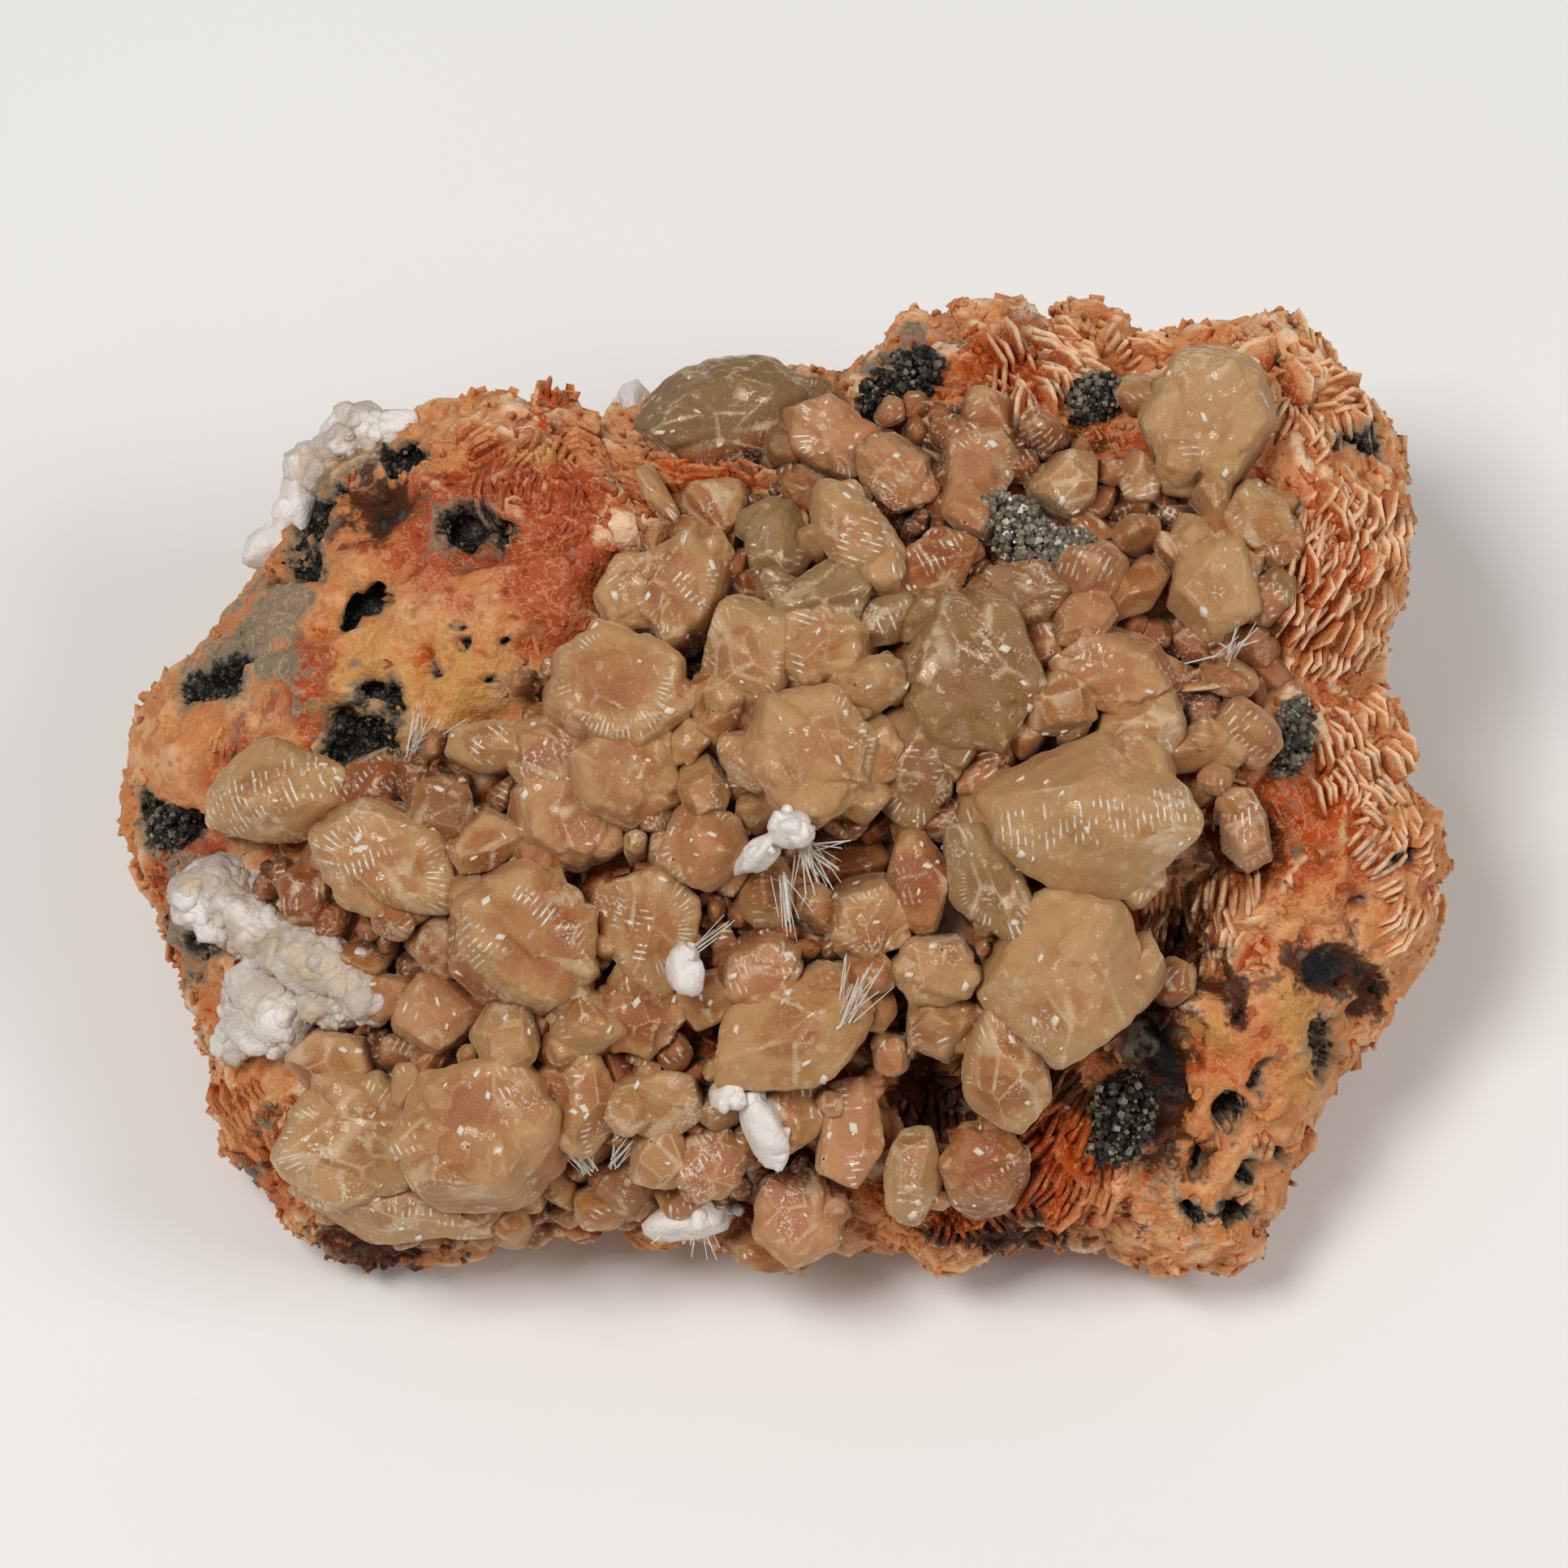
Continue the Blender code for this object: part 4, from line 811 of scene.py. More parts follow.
@dataclass(frozen=True)
class BariteFinish:
    """Granular barite: peach with salmon, ochre, grey and rust patches that also paint shade, painted shade
    in its hollows and painted highlights on its ridges.
    """

    peach: tuple = srgb(198, 124, 70)
    pale: tuple = srgb(224, 170, 118)
    cream: tuple = srgb(240, 208, 174)
    salmon: tuple = srgb(168, 72, 34)
    ochre: tuple = srgb(196, 138, 72)
    # Rust-brown: iron stain, and also the painted shade deepest in the hollows
    rust_and_shade: tuple = srgb(78, 36, 8)
    orange: tuple = srgb(176, 72, 10)
    grey: tuple = srgb(134, 120, 98)
    black: tuple = srgb(18, 18, 15)
    grains_per_mm: float = 2.4
    flecks_per_mm: float = 0.9
    grain_relief: float = 0.2
    roughness: tuple = (0.42, 0.77)
    shine: float = 0.28

    def make(self) -> bpy.types.Material:
        """Builds the material from the masks that the rock and its blades carry.

        Returns:
            The material.
        """
        board = Board("barite")
        place = board.place()
        grain = board.noise(place, self.grains_per_mm * PER_MM, 2.0, 0.65)
        fleck = board.noise(place, self.flecks_per_mm * PER_MM, 2.0, 0.6)
        cloud = board.value("cloud")
        uneven = (cloud - 0.5) * 0.8 + (fleck - 0.5) * 1.0 + (grain - 0.5) * 0.4

        def mask(name: str, low: float = 0.25, high: float = 0.6) -> Wire:
            """A patch with a broken edge, from 0 where its mask is low to 1 where it is high."""
            return (board.value(name) + uneven).step(low, high)

        hollow_shade = board.value("hollow_shade") + uneven * 0.5
        edge = board.value("edge") + uneven * 0.4
        seams = (fleck - 0.5).sharp(0.035) * 0.4 + grain.step(0.55, 0.8, 0.0, 0.4)
        colour = board.over(
            self.peach,
            ((cloud + (fleck - 0.5) * 1.2).step(0.3, 0.8), self.pale),
            (mask("salmon"), self.salmon),
            (mask("ochre"), self.ochre),
            (mask("orange"), self.orange),
            (mask("grey"), self.grey),
            # Painted shade: orange deepening to rust-brown in the relief's hollows and under the crystals
            (hollow_shade.step(0.25, 0.75), self.orange),
            (hollow_shade.step(0.62, 1.1, 0.0, 0.9), self.rust_and_shade),
            # Painted highlight: pale, then cream, on ridge tops and blade edges
            (edge.step(0.5, 1.0, 0.0, 0.8), self.pale),
            (edge.step(0.7, 1.1, 0.0, 0.85), self.cream),
            (seams, self.pale),
            # Rust-brown stain that also paints shade into deep hollows; the black where it is strongest is
            # painted shadow
            (mask("rust_and_shade"), self.rust_and_shade),
            (mask("rust_and_shade", 0.7, 1.1), self.black),
            (mask("galena", 0.10, 0.5) * 0.75, self.grey),
            (mask("galena", 0.40, 0.66), board.mix(grain.step(0.5, 0.72, 0.0, 0.55), self.black, self.grey)),
        )
        board.set(
            Base_Color=colour,
            Roughness=grain.step(0.3, 0.7, *self.roughness),
            Normal=board.bump(grain * self.grain_relief),
            Specular_IOR_Level=self.shine,
        )
        return board.material


@dataclass(frozen=True)
class CerussiteFinish:
    """Honey-coloured crystal: see-through with a milky body, rows of growth lines painted as bright glints,
    and specks.
    """

    pale: tuple = srgb(208, 158, 102)
    honey: tuple = srgb(186, 122, 64)
    amber: tuple = srgb(158, 78, 20)
    # Dark red-brown for the painted shade deepest between the crystals
    rust_and_shade: tuple = srgb(54, 20, 5)
    grey: tuple = srgb(138, 110, 66)
    pink: tuple = srgb(196, 126, 82)
    # Pale frosted colour of chips and grain, also used for rims painted pale as light through thin edges and
    # for painted sparkle cells
    frost_and_rim_light: tuple = srgb(236, 206, 164)
    # Near-white of the painted glints
    painted_glint: tuple = srgb(255, 246, 228)
    speck: tuple = srgb(70, 46, 28)
    index: float = 1.65
    transmission: float = 0.22
    shine: float = 0.28
    sheen: float = 0.5
    sheen_roughness: float = 0.3
    roughness: tuple = (0.1, 0.62)
    grains_per_mm: float = 5.0
    patches_per_mm: float = 1.3
    wide_facets_per_mm: float = 0.62
    small_facets_per_mm: float = 2.1
    lines_per_mm: float = 15.0 / (2.0 * math.pi)

    def make(self) -> bpy.types.Material:
        """Builds the material from each crystal's tone, its own coordinates, and painted shade that turns it
        amber and then dark red-brown the lower it sits between the crystals.

        Returns:
            The material.
        """
        board = Board("cerussite")
        place = board.place()
        cloud = board.value("cloud")
        grain = board.noise(place, self.grains_per_mm * PER_MM, 2.0, 0.65)
        wide, wide_tone, _ = board.tilts(place, self.wide_facets_per_mm * PER_MM)
        small, small_tone, small_reach = board.tilts(place, self.small_facets_per_mm * PER_MM)
        lines = (board.value("run") * (2.0 * math.pi * self.lines_per_mm) + small_tone * 0.8).sine()
        around = (board.value("turns") + small_tone * 0.3).sine()
        patch = board.noise(place, self.patches_per_mm * PER_MM, 1.0).step(0.42, 0.62)
        broken = small_tone.step(0.12, 0.3) * patch
        # Painted highlights: short bright dashes along the growth lines and about the rims, also smoother and
        # raised
        glint_dashes = lines.step(0.0, 0.9) * board.value("banded")
        glint_dashes = glint_dashes.most(around.step(0.0, 0.9) * board.value("rimmed")) * broken
        dark = board.value("dark") + (cloud - 0.5) * 0.9 + (wide_tone - 0.5) * 0.4 + (grain - 0.5) * 1.0
        gap_shade = board.value("gap_shade") + (cloud - 0.5) * 0.3
        # Painted sparkle: a few small cells painted pale and made smooth
        bright = small_tone.step(0.88, 0.9)
        # Frost and painted light: frosted chips and grain, with rims painted pale as light through thin edges
        # and small cells painted as sparkle
        frost_and_rim_light = board.value("edge") * cloud.step(0.3, 0.7, 0.2, 1.0) + bright * 0.35
        frost_and_rim_light = frost_and_rim_light + grain.step(0.56, 0.68, 0.0, 0.5)
        # Painted sparkle: clusters of tiny glint-white specks
        painted_sparks = grain.step(0.54, 0.6) * cloud.step(0.64, 0.82) * 0.55
        colour = board.over(
            self.pale,
            (dark.step(0.0, 0.6), self.honey),
            (dark.step(0.45, 1.1), self.amber),
            (board.value("grey"), self.grey),
            (board.value("pink"), self.pink),
            # Painted shade: amber, then dark red-brown, where a crystal sits low between others
            (gap_shade.step(0.2, 0.8, 0.0, 0.8), self.amber),
            (gap_shade.step(0.6, 1.1, 0.0, 0.9), self.rust_and_shade),
            (frost_and_rim_light.step(0.15, 1.0, 0.0, 0.72), self.frost_and_rim_light),
            # Painted glints: the dashes, sparkles and shards in near-white
            ((glint_dashes * 0.85).most(painted_sparks).most(board.value("shard_glint")), self.painted_glint),
            (small_tone.step(0.985, 0.99) * small_reach.step(0.15, 0.2, 1.0, 0.0), self.speck),
        )
        dull = grain * 0.3 - glint_dashes * 0.5 - bright * 0.5 - painted_sparks * 0.5
        board.set(
            Base_Color=colour,
            Roughness=dull.step(-0.4, 0.15, *self.roughness),
            Normal=board.bump(wide * 0.10 + small * 0.08 + glint_dashes * 0.04 + grain * 0.05),
            IOR=self.index,
            Specular_IOR_Level=self.shine,
            Transmission_Weight=self.transmission,
            Sheen_Weight=self.sheen,
            Sheen_Roughness=self.sheen_roughness,
            Sheen_Tint=self.frost_and_rim_light,
        )
        return board.material


@dataclass(frozen=True)
class WhiteFinish:
    """Milky white crust, faintly bluish in places, with a waxy bloom."""

    white: tuple = srgb(238, 230, 222)
    shade: tuple = srgb(194, 178, 164)
    cream: tuple = srgb(216, 184, 140)
    grains_per_mm: float = 3.4
    grain_relief: float = 0.16
    roughness: tuple = (0.35, 0.6)

    def make(self) -> bpy.types.Material:
        """Builds the material, duller and creamier where the crust is thick and knobbed.

        Returns:
            The material.
        """
        board = Board("white_crust")
        cloud = board.value("cloud")
        grain = board.noise(board.place(), self.grains_per_mm * PER_MM, 3.0, 0.65)
        dull = (cloud + grain * 0.4).step(0.45, 0.85) * board.value("crusted").step(0.0, 1.0, 0.25, 1.0)
        stain = board.value("stain") * cloud.step(0.3, 0.7)
        board.set(
            Base_Color=board.over(self.white, (dull, self.shade), (stain, self.cream)),
            Roughness=grain.step(0.3, 0.7, *self.roughness),
            Normal=board.bump(grain * self.grain_relief),
        )
        return board.material


@dataclass(frozen=True)
class NeedleFinish:
    """Clear to white needles."""

    tint: tuple = srgb(248, 244, 236)
    shade: tuple = srgb(226, 220, 206)
    depth_tint: tuple = srgb(250, 240, 220)
    depth_density: float = 40.0
    grains_per_mm: float = 2.0
    roughness: tuple = (0.08, 0.22)
    index: float = 1.75
    transmission: float = 0.2

    def make(self) -> bpy.types.Material:
        """Builds the material, which lets some light through.

        Returns:
            The material.
        """
        board = Board("needles")
        grain = board.noise(board.place(), self.grains_per_mm * PER_MM, 2.0)
        board.set(
            Base_Color=board.mix(grain.step(0.3, 0.7), self.tint, self.shade),
            Roughness=grain.step(0.3, 0.7, *self.roughness),
            IOR=self.index,
            Transmission_Weight=self.transmission,
        )
        depth = {"Color": self.depth_tint, "Density": self.depth_density}
        board.feed(board.output.inputs["Volume"], board.node("ShaderNodeVolumeAbsorption", {}, depth))
        return board.material


@dataclass(frozen=True)
class GalenaFinish:
    """Dark grey lead ore: dull granular faces, some lighter, and a few on the grey lumps painted as bright
    glints.
    """

    dark: tuple = srgb(38, 34, 29)
    light: tuple = srgb(136, 126, 108)
    painted_sparkle: tuple = srgb(226, 220, 206)
    grains_per_mm: float = 4.0
    grain_relief: float = 0.04
    roughness: tuple = (0.4, 0.7)
    metallic: float = 0.35

    def make(self) -> bpy.types.Material:
        """Builds the material from how bright each cube is.

        Returns:
            The material.
        """
        board = Board("galena")
        grain = board.noise(board.place(), self.grains_per_mm * PER_MM, 2.0, 0.6)
        bright = board.value("bright")
        shade = bright + (board.value("cloud") - 0.5) * 0.6
        # Painted glints: the brightest cubes of the grey lumps in near-white
        coats = (shade.step(0.2, 0.9), self.light), (bright.step(1.3, 1.4), self.painted_sparkle)
        board.set(
            Base_Color=board.over(self.dark, *coats),
            Roughness=grain.step(0.3, 0.7, *self.roughness),
            Metallic=self.metallic,
            Normal=board.bump(grain * self.grain_relief),
        )
        return board.material


# Coloured patches of the rock by the mask that paints them: u, v, across, up, strength
PATCHES = {
    "salmon": (
        (-30.0, 7.3, 3.2, 2.6, 1.0), (-37.5, -4.5, 3.4, 2.6, 1.0), (-22.0, 15.5, 7.0, 3.6, 0.75),
        (-15.0, 17.5, 6.0, 4.5, 0.8), (-14.0, 11.0, 3.6, 4.5, 0.6), (-34.0, 1.5, 3.0, 2.4, 0.5),
        (13.0, 24.0, 5.0, 4.0, 0.7), (34.0, -6.5, 3.0, 3.2, 0.5), (-31.0, -24.0, 3.0, 4.0, 0.6),
    ),
    "ochre": (
        (-22.5, 6.0, 7.5, 4.5, 0.85), (-14.5, 20.0, 1.8, 1.2, 0.8), (32.0, -16.5, 1.8, 4.2, 1.0),
        (25.6, -15.6, 1.3, 2.6, 0.8), (23.5, -15.0, 2.2, 1.8, 0.6), (-18.0, -5.0, 2.4, 1.2, 0.8),
    ),
    "orange": (
        (13.5, 25.0, 3.4, 4.2, 0.75), (33.0, 9.0, 4.0, 9.0, 0.5), (32.0, -2.5, 3.0, 4.0, 0.75),
        (38.0, -5.0, 3.0, 3.2, 0.5), (11.0, -26.0, 7.0, 3.0, 0.9), (16.5, -21.0, 3.4, 4.0, 0.7),
        (-6.0, 18.6, 5.0, 2.2, 0.7), (-14.3, 23.6, 1.0, 2.4, 1.0), (20.0, 16.0, 4.0, 3.0, 0.4),
        (28.0, -17.0, 4.0, 6.0, 0.5), (24.0, 21.0, 6.0, 3.0, 0.6), (33.0, 16.0, 3.0, 6.0, 0.4),
        (-33.5, -24.0, 2.4, 4.0, 0.6),
    ),
    # Rust-brown stain that also stands for shade in the deep hollows it sinks
    "rust_and_shade": (
        (-25.2, 17.0, 3.6, 2.4, 0.95), (9.0, -19.3, 2.8, 2.4, 0.9), (24.5, -9.0, 3.4, 3.6, 0.7),
        (35.0, -12.5, 2.4, 1.6, 0.9), (-26.0, -28.4, 6.0, 1.4, 0.8), (-31.0, 13.0, 2.0, 1.4, 0.7),
        (8.7, 0.6, 2.6, 3.4, 0.7), (23.0, -19.0, 2.0, 5.0, 0.9), (26.4, -22.8, 1.4, 1.2, 0.9),
        (33.6, -11.4, 2.2, 2.0, 0.9), (27.0, -14.0, 1.0, 2.6, 0.9), (22.8, -15.0, 1.6, 3.4, 0.85),
        (31.0, -27.0, 1.6, 1.2, 0.8), (27.0, 16.5, 1.6, 2.6, 0.6), (29.4, 9.0, 1.4, 3.0, 0.6),
        (16.0, 20.0, 3.4, 1.8, 0.6), (3.6, 21.5, 3.0, 1.8, 0.7), (13.0, -27.6, 6.0, 1.4, 0.8),
        (24.0, 20.0, 2.0, 3.0, 0.6), (-8.0, -29.6, 12.0, 0.9, 0.8), (17.0, -18.5, 2.0, 2.0, 0.8),
    ),
    "grey": (
        (-33.0, 8.0, 5.0, 3.0, 0.7), (-29.0, 19.5, 4.5, 2.6, 0.8), (-37.8, -8.5, 2.0, 4.6, 0.9),
        (8.0, 26.5, 4.5, 1.8, 0.7), (-31.6, 12.0, 2.6, 1.8, 0.6), (30.5, 2.8, 2.2, 3.4, 0.7),
        (-33.0, -22.5, 1.4, 4.0, 0.6), (23.0, -24.0, 2.4, 3.6, 0.6),
    ),
    "galena": (
        (-23.0, 20.5, 1.6, 1.0, 1.2), (-28.9, 16.9, 0.8, 0.8, 1.1), (-29.3, 14.4, 1.3, 2.0, 1.1),
        (-25.5, 11.2, 1.1, 1.0, 1.2), (-18.6, 14.7, 1.8, 1.3, 1.1), (-25.1, 6.0, 1.1, 0.9, 1.0),
        (-26.2, 2.6, 2.3, 1.9, 0.95), (-35.4, 6.1, 1.7, 1.7, 1.0), (-31.9, 2.3, 0.7, 0.8, 1.0),
        (-38.7, -2.6, 1.5, 1.6, 1.1), (-35.2, -5.4, 1.2, 1.0, 0.9), (-36.8, -10.5, 1.6, 3.4, 0.8),
        (22.1, -14.6, 1.2, 2.4, 1.1), (33.8, -16.4, 1.9, 1.6, 1.0), (27.7, -21.0, 1.0, 0.9, 1.2),
        (30.2, -23.7, 1.0, 0.9, 1.2), (27.6, -26.3, 1.2, 0.8, 1.2), (26.2, -23.0, 0.6, 0.6, 1.1),
        (35.9, 20.9, 1.0, 1.4, 1.1), (6.8, -4.2, 1.6, 1.2, 0.8), (24.6, -27.2, 1.0, 1.4, 1.0),
        (29.0, -18.4, 0.7, 1.1, 1.0), (38.2, -4.0, 0.5, 0.4, 1.1), (35.0, -7.6, 0.6, 0.5, 1.1),
        (-20.4, 9.2, 0.5, 0.4, 1.1), (-18.4, 7.2, 0.6, 0.4, 1.1), (-22.0, 7.4, 0.4, 0.5, 1.1),
        (-21.2, 10.6, 0.4, 0.4, 1.1), (-18.2, 9.6, 0.3, 0.4, 1.1),
    ),
}
# Two layers of strength, size and seed that fray the patches' edges, along u and along v
FRAYS = (((1.5, 3.4, 71), (0.8, 1.3, 72)), ((1.5, 3.4, 73), (0.8, 1.3, 74)))
# Size and first seed of the random values that colour the rock's back, and how strong they get
BEHIND_SIZE = 9.0
BEHIND_SEED = 60
BEHIND = {"galena": 0.1}
BEHIND_USUAL = 0.35
BEHIND_GAIN = 2.4


def paint(world_points: Array) -> dict[str, Array]:
    """How strongly each patch colour shows at each place, as sums of bell-shaped spots.

    The rock's back and sides take the same colours from large smooth random values instead.

    Args:
        world_points: places in world metres.

    Returns:
        The strength of each colour at each place, from 0 to 1.2.
    """
    face = FACE.to_face(world_points)
    u, v = (face[..., axis] + layered_random(face, rows) for axis, rows in enumerate(FRAYS))
    front = smooth_step(face[..., 2], -9.0, 1.0)
    masks = {}
    for step, (name, rows) in enumerate(PATCHES.items()):
        wild = smooth_random(np.asarray(world_points) / MM, BEHIND_SIZE, BEHIND_SEED + step)
        behind = np.clip(wild * 1.6 - 0.3, 0.0, 1.0) * BEHIND.get(name, BEHIND_USUAL) * BEHIND_GAIN
        masks[name] = np.clip(spots(u, v, rows) * front + behind * (1.0 - front), 0.0, 1.2)
    return masks


@dataclass
class Rock:
    """The barite rock: one closed net from the middle of its face over its sides to its base."""

    segments: int = 620
    face_rings: int = 100
    wall_rings: int = 46
    base_rings: int = 8
    rim_crowding: float = 1.6
    sink: float = 1.9
    pit_depth: float = 1.9
    rust_pit_share: float = 0.6
    foot_blend: tuple = (0.2, 2.0)
    relief: tuple = ((0.62, 3.2, 41), (0.36, 1.4, 42), (0.20, 0.75, 43))
    relief_warp: float = 0.5
    calm: tuple = (
        (-25.0, 10.0, 13.0, 10.0, 1.6), (30.0, -20.0, 6.0, 9.0, 1.5), (36.0, -6.0, 5.0, 5.0, 1.0),
        (-36.0, -2.0, 5.0, 7.0, 1.0),
    )
    calming: float = 0.4

    def __post_init__(self) -> None:
        """Works out the net's points, normals and masks."""
        inner = 1.0 - (1.0 - np.linspace(0.0, 1.0, self.face_rings + 1)[1:]) ** self.rim_crowding
        wall = np.linspace(0.0, 1.0, self.wall_rings + 1)[1:]
        under = np.linspace(0.0, 1.0, self.base_rings + 1)[1:-1]
        reach = np.concatenate((inner, np.ones(len(wall) + len(under))))
        walls = np.concatenate((np.zeros(len(inner)), wall, np.ones(len(under))))
        unders = np.concatenate((np.zeros(len(inner) + len(wall)), under))
        around = np.arange(self.segments) * 2.0 * math.pi / self.segments
        grid = FACE.shell(*np.broadcast_arrays(around, reach[:, None], walls[:, None], unders[:, None]))
        across = np.roll(grid, -1, axis=1) - np.roll(grid, 1, axis=1)
        self.normals = unit(np.cross(np.gradient(grid, axis=0), across))
        flat = FACE.to_face(grid * MM)
        calmed = np.clip(spots(flat[..., 0], flat[..., 1], self.calm), 0.0, 1.0)
        self.ridges = self.fine_relief(grid) * (1.0 - self.calming * calmed)
        self.covered = FACE.covered(flat[..., 0], flat[..., 1]) * smooth_step(flat[..., 2], 0.0, 4.0)
        self.masks = paint(grid * MM)
        galena, rust_and_shade = self.masks["galena"], self.masks["rust_and_shade"]
        self.calmed = np.maximum(calmed, np.clip(1.4 * np.maximum(galena, rust_and_shade), 0.0, 1.0))
        pitted = smooth_step(galena, 0.3, 0.9) * self.pit_depth
        pitted += smooth_step(rust_and_shade, 0.3, 0.9) * self.rust_pit_share * self.pit_depth
        moved = self.ridges - self.sink * self.covered - pitted
        moved *= smooth_step(grid[..., 2], *self.foot_blend)
        self.grid = grid + self.normals * moved[..., None]
        self.grid[..., 2] = np.maximum(self.grid[..., 2], 0.0)
        centre = FACE.centre + np.array((0.0, 0.0, FACE.height_at(0.0, 0.0))) @ FACE.axes
        middle = centre + FACE.axes[2] * (self.ridges[0].mean() - self.sink * self.covered[0].mean())
        base = np.array((0.0, FACE.base_shift, 0.0))
        self.points = np.concatenate((self.grid.reshape(-1, 3), middle[None], base[None])) * MM
        self.triangles = net_triangles(len(reach), self.segments)

    def fine_relief(self, grid: Array) -> Array:
        """Sharp small ridges: the sum of strength times 1 - 2.6 |random| over three sizes.

        Args:
            grid: the net's points, rings by segments.

        Returns:
            How far each point rises, in millimetres.
        """
        total = np.zeros(grid.shape[:-1])
        for strength, size, seed in self.relief:
            warped = grid + self.relief_warp * smooth_random(grid, 2.0 * size, seed + 10)[..., None]
            total += strength * (1.0 - 2.6 * np.abs(smooth_random(warped, size, seed)))
        return total

    def front_chance(self) -> Array:
        """How likely a grain is at each place of the face: less under crystals and on calm rock."""
        front = smooth_step(FACE.to_face(self.grid * MM)[..., 2], -6.0, 2.0)
        return front * (1.0 - 0.7 * self.covered) * (1.0 - 0.94 * self.calmed)

    def side_chance(self) -> Array:
        """How likely a grain is at each place of the back and sides: none at the foot."""
        side = 1.0 - smooth_step(FACE.to_face(self.grid * MM)[..., 2], -6.0, 2.0)
        return side * (1.0 - 0.8 * self.calmed) * smooth_step(self.grid[..., 2], 2.0, 5.0)

    def make(self) -> Draft:
        """Gathers the rock with its masks, and how far each place is a hollow or a ridge's edge: painted
        shade in the hollows, painted highlight on the ridges.

        Returns:
            The mesh.
        """
        fields = {
            # Painted shade: strongest in the relief's hollows and where crystals cover the rock
            "hollow_shade": np.clip(-self.ridges * 0.9 + 0.1 + 0.85 * self.covered, 0.0, 1.3),
            # Painted highlight: paler on the relief's ridges
            "edge": np.clip(self.ridges * 1.1 + 0.1, 0.0, 1.0),
            **self.masks,
        }
        poles = {name: (field[0].mean(), 0.0) for name, field in fields.items()}
        values = {name: np.concatenate((field.ravel(), poles[name])) for name, field in fields.items()}
        draft = Draft(smooth=True)
        draft.add(self.points, self.triangles, **values)
        return draft


class Sheaf(NamedTuple):
    """A bank of barite sheaves: place and spread on the face, how many, blades in each and their form.

    Length and proud, the height over the rock, are in millimetres, turn and scatter in degrees.
    """

    u: float
    v: float
    spread_u: float
    spread_v: float
    sheaves: int
    blades: int
    length: float
    turn: float
    scatter: float
    proud: float


RIM_SHEAVES = (
    Sheaf(33.8, 16.0, 3.4, 9.5, 34, 6, 3.4, 75, 40, 1.3),
    Sheaf(31.5, 25.0, 3.4, 3.0, 12, 6, 3.0, 60, 60, 1.1),
    Sheaf(35.6, 1.5, 2.4, 4.4, 16, 6, 2.8, 100, 45, 1.1),
    Sheaf(36.6, -6.5, 3.6, 4.2, 14, 5, 2.8, 60, 50, 0.9),
    Sheaf(24.8, -8.6, 3.2, 3.2, 12, 6, 4.0, 95, 18, 1.6),
    Sheaf(18.0, 25.5, 7.0, 3.2, 20, 5, 2.8, 100, 60, 0.9),
    Sheaf(14.4, 24.6, 1.8, 2.4, 6, 4, 4.2, 100, 12, 1.7),
    Sheaf(25.6, 6.1, 0.8, 0.8, 2, 2, 5.2, 15, 4, 3.4),
    Sheaf(30.0, 12.5, 1.8, 4.4, 9, 5, 3.6, 80, 30, 1.8),
)
LOWER_SHEAVES = (
    Sheaf(10.4, -27.2, 4.6, 1.8, 16, 6, 3.4, 100, 30, 1.2),
    Sheaf(17.0, -22.6, 2.8, 3.6, 12, 6, 3.6, 60, 45, 1.4),
    Sheaf(15.6, -27.9, 2.4, 0.6, 7, 4, 2.6, 90, 10, 1.2),
    Sheaf(-26.0, -15.4, 4.2, 1.4, 10, 6, 4.2, 20, 25, 1.3),
    Sheaf(-32.4, -21.0, 1.8, 4.4, 12, 6, 3.2, -70, 30, 1.0),
    Sheaf(9.3, -19.6, 2.6, 2.6, 8, 5, 3.0, 80, 60, 1.0),
    Sheaf(-2.0, -28.0, 12.0, 1.0, 14, 5, 2.6, 90, 50, 0.8),
    Sheaf(29.0, -21.0, 4.4, 6.6, 22, 4, 2.2, 60, 90, 0.5),
)
UPPER_SHEAVES = (
    Sheaf(-5.0, 18.6, 5.0, 1.8, 12, 5, 4.0, -20, 25, 1.1),
    Sheaf(-14.0, 18.0, 4.0, 3.4, 16, 5, 2.8, 60, 60, 0.7),
    Sheaf(-17.0, 22.0, 6.0, 1.8, 12, 4, 2.4, 60, 80, 0.7),
    Sheaf(-29.0, 1.0, 9.0, 3.0, 12, 4, 2.0, 20, 90, 0.4),
    Sheaf(-14.3, 23.2, 0.8, 0.8, 2, 3, 2.6, 90, 10, 1.9),
)
# The sheaves' pieces: their banks, the seed of their random numbers and how pale their edges are painted, as
# a highlight
SHEAVES = {
    "barite_blades_right": (RIM_SHEAVES, 801, 1.2),
    "barite_blades_lower": (LOWER_SHEAVES, 802, 0.55),
    "barite_blades_upper": (UPPER_SHEAVES, 803, 0.6),
}


class Scatter(NamedTuple):
    """Single grains: how many, shortest and longest, least and most height over the rock, and seed."""

    count: int
    length: tuple[float, float]
    proud: tuple[float, float]
    seed: int


FACE_GRAINS = Scatter(4200, (0.6, 1.8), (0.05, 0.3), 804)
SIDE_GRAINS = Scatter(4000, (0.7, 2.2), (0.08, 0.34), 805)


